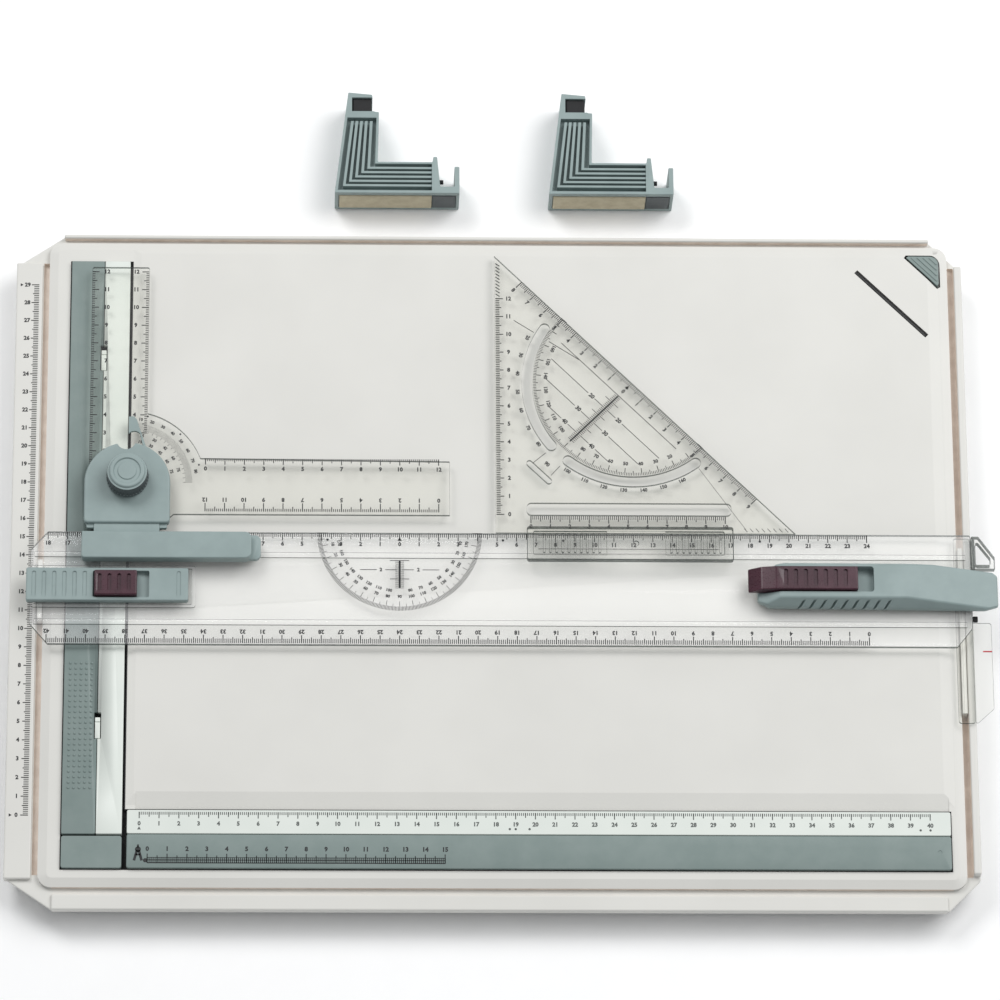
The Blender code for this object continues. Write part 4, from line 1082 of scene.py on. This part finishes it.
def print_set_square():
    x0, _, y0, _, _, z1 = limits("set_square")
    leg = lay("leg_scale", rule_marks(120, 2.1, 3.0, 4.0), x0 + 0.5, y0 + 10.0, z1, 90)
    figures = [figure(i, x0 + 7.2, y0 + 10.0 + 10 * i) for i in range(13)]
    # Hatched ends, where the edge is too thin for a scale.
    figures.append(repeat(mark(x0 + 1.7, y0 + 132.0, 0.5, 2.6, 55), 10, (0.0, 1.9, 0.0)))
    figures.append(repeat(mark(x0 + 128.6, y0 + 1.8, 0.3, 2.6, 40), 8, (3.0, 0.0, 0.0)))
    # The line across the right corner, two beside the 90 and two at the upper end of the slot.
    figures += [
        mark(297.6, 169.8, 0.2, 41.0, 35.1),
        figure(90, 207.4, 188.6, -45, 2.8),
        mark(203.5, 192.0, 0.3, 8.9, -50),
        mark(211.8, 185.0, 0.3, 7.0, -42),
        mark(196.0, 265.3, 0.36, 12.4, 57),
        mark(216.8, 251.8, 0.36, 18.5, 57),
    ]
    shapes = rule_marks(100, 2.0, 3.0, 4.0) + numbers(11, -5.8)
    rule = lay("runner_scale", shapes, 198.9, 160.0, z1)

    # The long edge counts both ways from the middle of the protractor.
    cx, cy = ARC_CENTRE
    shapes = rule_marks(170, 2.1, 3.1, 4.1)
    shapes += [figure(abs(i), 80 + i * 10, -6.2) for i in range(-8, 10)]
    shapes.append(dot(80, -3.2, 1.3, 3))
    start = (cx - 80 * HALF_SQUARE - 0.3, cy + 80 * HALF_SQUARE - 0.3)
    edge = lay("long_edge_scale", shapes, *start, z1, -45)

    shapes = [
        mark_fan(0, 0, 49.8, 51.4, 135, 315, 1, 0.3),
        mark_fan(0, 0, 48.8, 50.0, 135, 315, 5, 0.36),
        mark_fan(0, 0, 47.4, 50.0, 135, 315, 10, 0.4),
    ]
    for value in (*range(20, 90, 10), *range(100, 170, 10)):
        shapes.append(dial_figure(value, 0, 0, 59.6, 135 + value, 90, 2.6))
        shapes.append(dial_figure(value, 0, 0, 45.0, 315 - value, 90, 2.6))
    ring = lay("square_protractor", shapes, cx, cy, z1 + FILM_STEP)

    # Lines parallel to the long edge and a comb along the middle, for centring.
    shapes = [
        mark(0, -28.0, 0.7, 36.0),
        repeat(mark(0, -15.0, 9.0, 0.34), 3, (0.0, -10.0, 0.0)),
        repeat(mark(0, -11.0, 4.2, 0.3), 35, (0.0, -1.0, 0.0)),
        mark(0, -10.0, 2 * 41.6, INK_LINE),
    ]
    for depth, reach in ((20, 39.0), (30, 33.5), (40, 22.0)):
        for side in (-1, 1):
            shapes.append(figure(depth, side * 9.7, -depth))
            shapes.append(mark(side * 4.6, -depth, 6.0, INK_LINE))
            shapes.append(mark(side * (reach + 12.2) / 2, -depth, reach - 12.2, INK_LINE))
    comb = lay("square_comb", shapes, cx, cy, z1 + 2 * FILM_STEP, -45)
    figures = lay("square_figures", figures, 0.0, 0.0, z1)
    film = gather("set_square_scales", [leg, rule, edge, ring, comb, figures])
    fit(film, "set_square", INK, "rubber_black")


def make_grip():
    x0, x1, y0, y1, z0, z1 = limits("set_square_grip")
    grip = cap("grip_cover", 1.2, 0.6, x0, x1 + 1.4, y0, y1, z0, z1)
    well = slab("well", x0 + 3.2, x1 - 3.2, y0 + 2.8, y1 - 2.6, z1 - 1.7, z1 + 3)
    carve(grip, soften(well, 0.8))
    for start in (204.8, 270.0):
        rib = slab("rib", start, start + 1.25, y0 + 4.0, y1 - 3.9, z1 - 2.0, z1 + 0.2)
        fuse(grip, repeat(soften(rib, 0.4), 10, (3.16, 0.0, 0.0)))
    middle = soften(slab("middle", 237.4, 267.8, y0 + 2.4, y1 - 2.2, z1 - 2.0, z1 - 0.5), 0.5)
    fuse(grip, middle)
    carve(grip, drum("dimple", 252.6, (y0 + y1) / 2, z1 - 1.1, z1 + 1, 1.2, 2.2, 24))
    soften(grip, 0.12, 2, 50)
    fuse(grip, slab("runner", *limits("set_square_runner")))
    fit_clear(grip, "set_square", "set_square_grip", "set_square_runner")


# --- stands ---------------------------------------------------------------------------------
def make_stand(side):
    """A loose tilt stand: nested ribs, a claw that hooks the board, a pad and a rubber foot."""
    x, _, y, _, _, top = limits(side + "_stand_frame")
    outline = [(x, y), (x + 65.5, y), (x + 65.5, y + 15.4), (x + 62.9, y + 15.4)]
    outline += [(x + 62.9, y + 4.0), (x + 55.4, y + 4.0), (x + 53.8, y + 21.0)]
    outline += [(x + 51.8, y + 21.0), (x + 51.4, y + 18.0), (x + 22.6, y + 18.0)]
    outline += [(x + 23.2, y + 46.6), (x + 20.6, y + 46.8), (x + 19.6, y + 56.6), (x + 7.0, y + 57.8)]
    shell = soften(panel("stand_shell", [outline], 0.0, top), 0.5)
    well = [(x + 1.6, y + 1.6), (x + 51.0, y + 1.6), (x + 51.0, y + 16.8), (x + 21.2, y + 16.8)]
    well += [(x + 21.9, y + 43.2), (x + 6.6, y + 43.2)]
    seat = slab("seat", x + 9.0, x + 23.0, y + 46.9, y + 54.8, 6.0, top + 1)
    niche = slab("niche", x + 2.0, x + 63.8, y - 1.0, y + 1.1, 3.0, 19.0)
    carve(shell, panel("well", [well], 17.6, top + 1), seat, niche)
    for i in range(5):
        left, front, wide = x + 4.3 + i * 3.2, y + 4.0 + i * 2.5, 1.45
        drift = 0.11 * (y + 42.4 - front) * (1 - i / 7)
        loop = [(left, front), (x + 51.4, front), (x + 51.4, front + 1.2), (left + wide, front + 1.2)]
        loop += [(left + wide + drift, y + 41.4), (left + drift, y + 41.4)]
        fuse(shell, panel("rib", [loop], 17.2, top - 0.5))
    soften(shell, 0.14, 1, 50)
    fit(shell, side + "_stand", GRAY, "handle_gray", side + "_stand_frame")

    fittings = (
        ("_stand_pad", "_stand_foam", 0.5, 3, FOAM, "pad_beige"),
        ("_stand_end_panel", "_stand_end_cap", 0.25, 2, CHARCOAL_AND_KNOB_SHADE, "dark_gray"),
        ("_stand_rubber", "_stand_grip", 0.8, 3, RUBBER, "rubber_black"),
    )
    for node, name, width, segments, material, slot in fittings:
        piece = soften(slab(side + name, *limits(side + node)), width, segments)
        fit(piece, side + "_stand", material, slot, side + node)


# --- building it all ------------------------------------------------------------------------
def finish_packed_pieces():
    """Better finishes for the pieces that are shown as packed."""
    screws = [f"handle_screw_{i}" for i in range(1, 5)]
    finishes = (
        (RUBBER, (*FEET, "left_stand_pin", "right_stand_pin")),
        (STEEL, ("left_clamp_rod", "bottom_clamp_rod", "left_clamp_spring", "bottom_clamp_spring")),
        (STEEL, ("corner_pin", "head_spindle", "pressure_washer", *screws)),
        (ACETAL, ("left_guide_shoe", "right_guide_runner")),
        (NYLON_AND_GAP_SHADE, ("corner_blade", "corner_rocker")),
        (CHARCOAL_AND_KNOB_SHADE, ("head_base_disc",)),
        (RED_INK, ("index_line",)),
    )
    for material, nodes in finishes:
        for node in nodes:
            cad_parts[node].material_slots[0].material = material


def add_light(name, size, energy, at):
    """A square soft box over the board, aimed at the middle of the drawing surface."""
    pick()
    bpy.ops.object.light_add(type="AREA", location=at)
    light = bpy.context.active_object
    light.name = name
    light.data.size = size
    light.data.energy = energy
    light.rotation_euler = (spot(180.0, 150.0, 0.0) - at).to_track_quat("-Z", "Y").to_euler()
    return light


def make_studio():
    scene = bpy.context.scene
    scene.view_settings.view_transform = "Standard"
    world = scene.world or bpy.data.worlds.new("studio")
    scene.world = world
    world.use_nodes = True
    sky = world.node_tree.nodes["Background"].inputs
    sky["Color"].default_value = paint("F4F6F8")
    sky["Strength"].default_value = 0.45
    floor = new_material("matt_paper_sweep")
    place = put(floor, "TexCoord").outputs["Object"]
    fibre = put(floor, "TexNoise", {"Vector": place, "Scale": 40.0}).outputs["Fac"]
    tone = {0: fibre, 6: paint("FBFBFB"), 7: paint("FFFFFF")}
    tone = put(floor, "Mix", tone, data_type="RGBA").outputs[2]
    shader = {"Base Color": tone, "Roughness": 0.9}
    shader = put(floor, "BsdfPrincipled", shader).outputs["BSDF"]
    put(floor, "OutputMaterial", {"Surface": shader})
    pick()
    bpy.ops.mesh.primitive_plane_add(size=8.0, location=(0.0, 0.0, -0.0003))
    sweep = settle("sweep")
    sweep.data.materials.append(floor)
    key = add_light("key", 1.1, 27.0, spot(-900.0, 1500.0, 2100.0))
    fill = add_light("fill", 1.6, 34.0, spot(1500.0, 900.0, 1900.0))


def make_camera():
    """A long lens high in front of the board, a little to the left of its middle."""
    pick()
    bpy.ops.object.camera_add(location=spot(87.0, -968.0, 3020.0))
    camera = bpy.context.active_object
    camera.rotation_euler = (radians(20.78), radians(-1.70), radians(-0.36))
    camera.data.sensor_width = 36.0
    camera.data.lens = 224.3
    camera.data.clip_end = 20.0
    bpy.context.scene.camera = camera


make_board()
print_ledge_scale()
make_left_clamp()
make_bottom_clamp()
make_corner_clip()
make_straightedge()
print_straightedge()
make_left_handle()
make_right_handle()
make_right_carriage()
make_head()
make_knob()
make_l_ruler()
print_l_ruler()
make_set_square()
print_set_square()
make_grip()
for side in ("left", "right"):
    make_stand(side)
finish_packed_pieces()
make_studio()
make_camera()
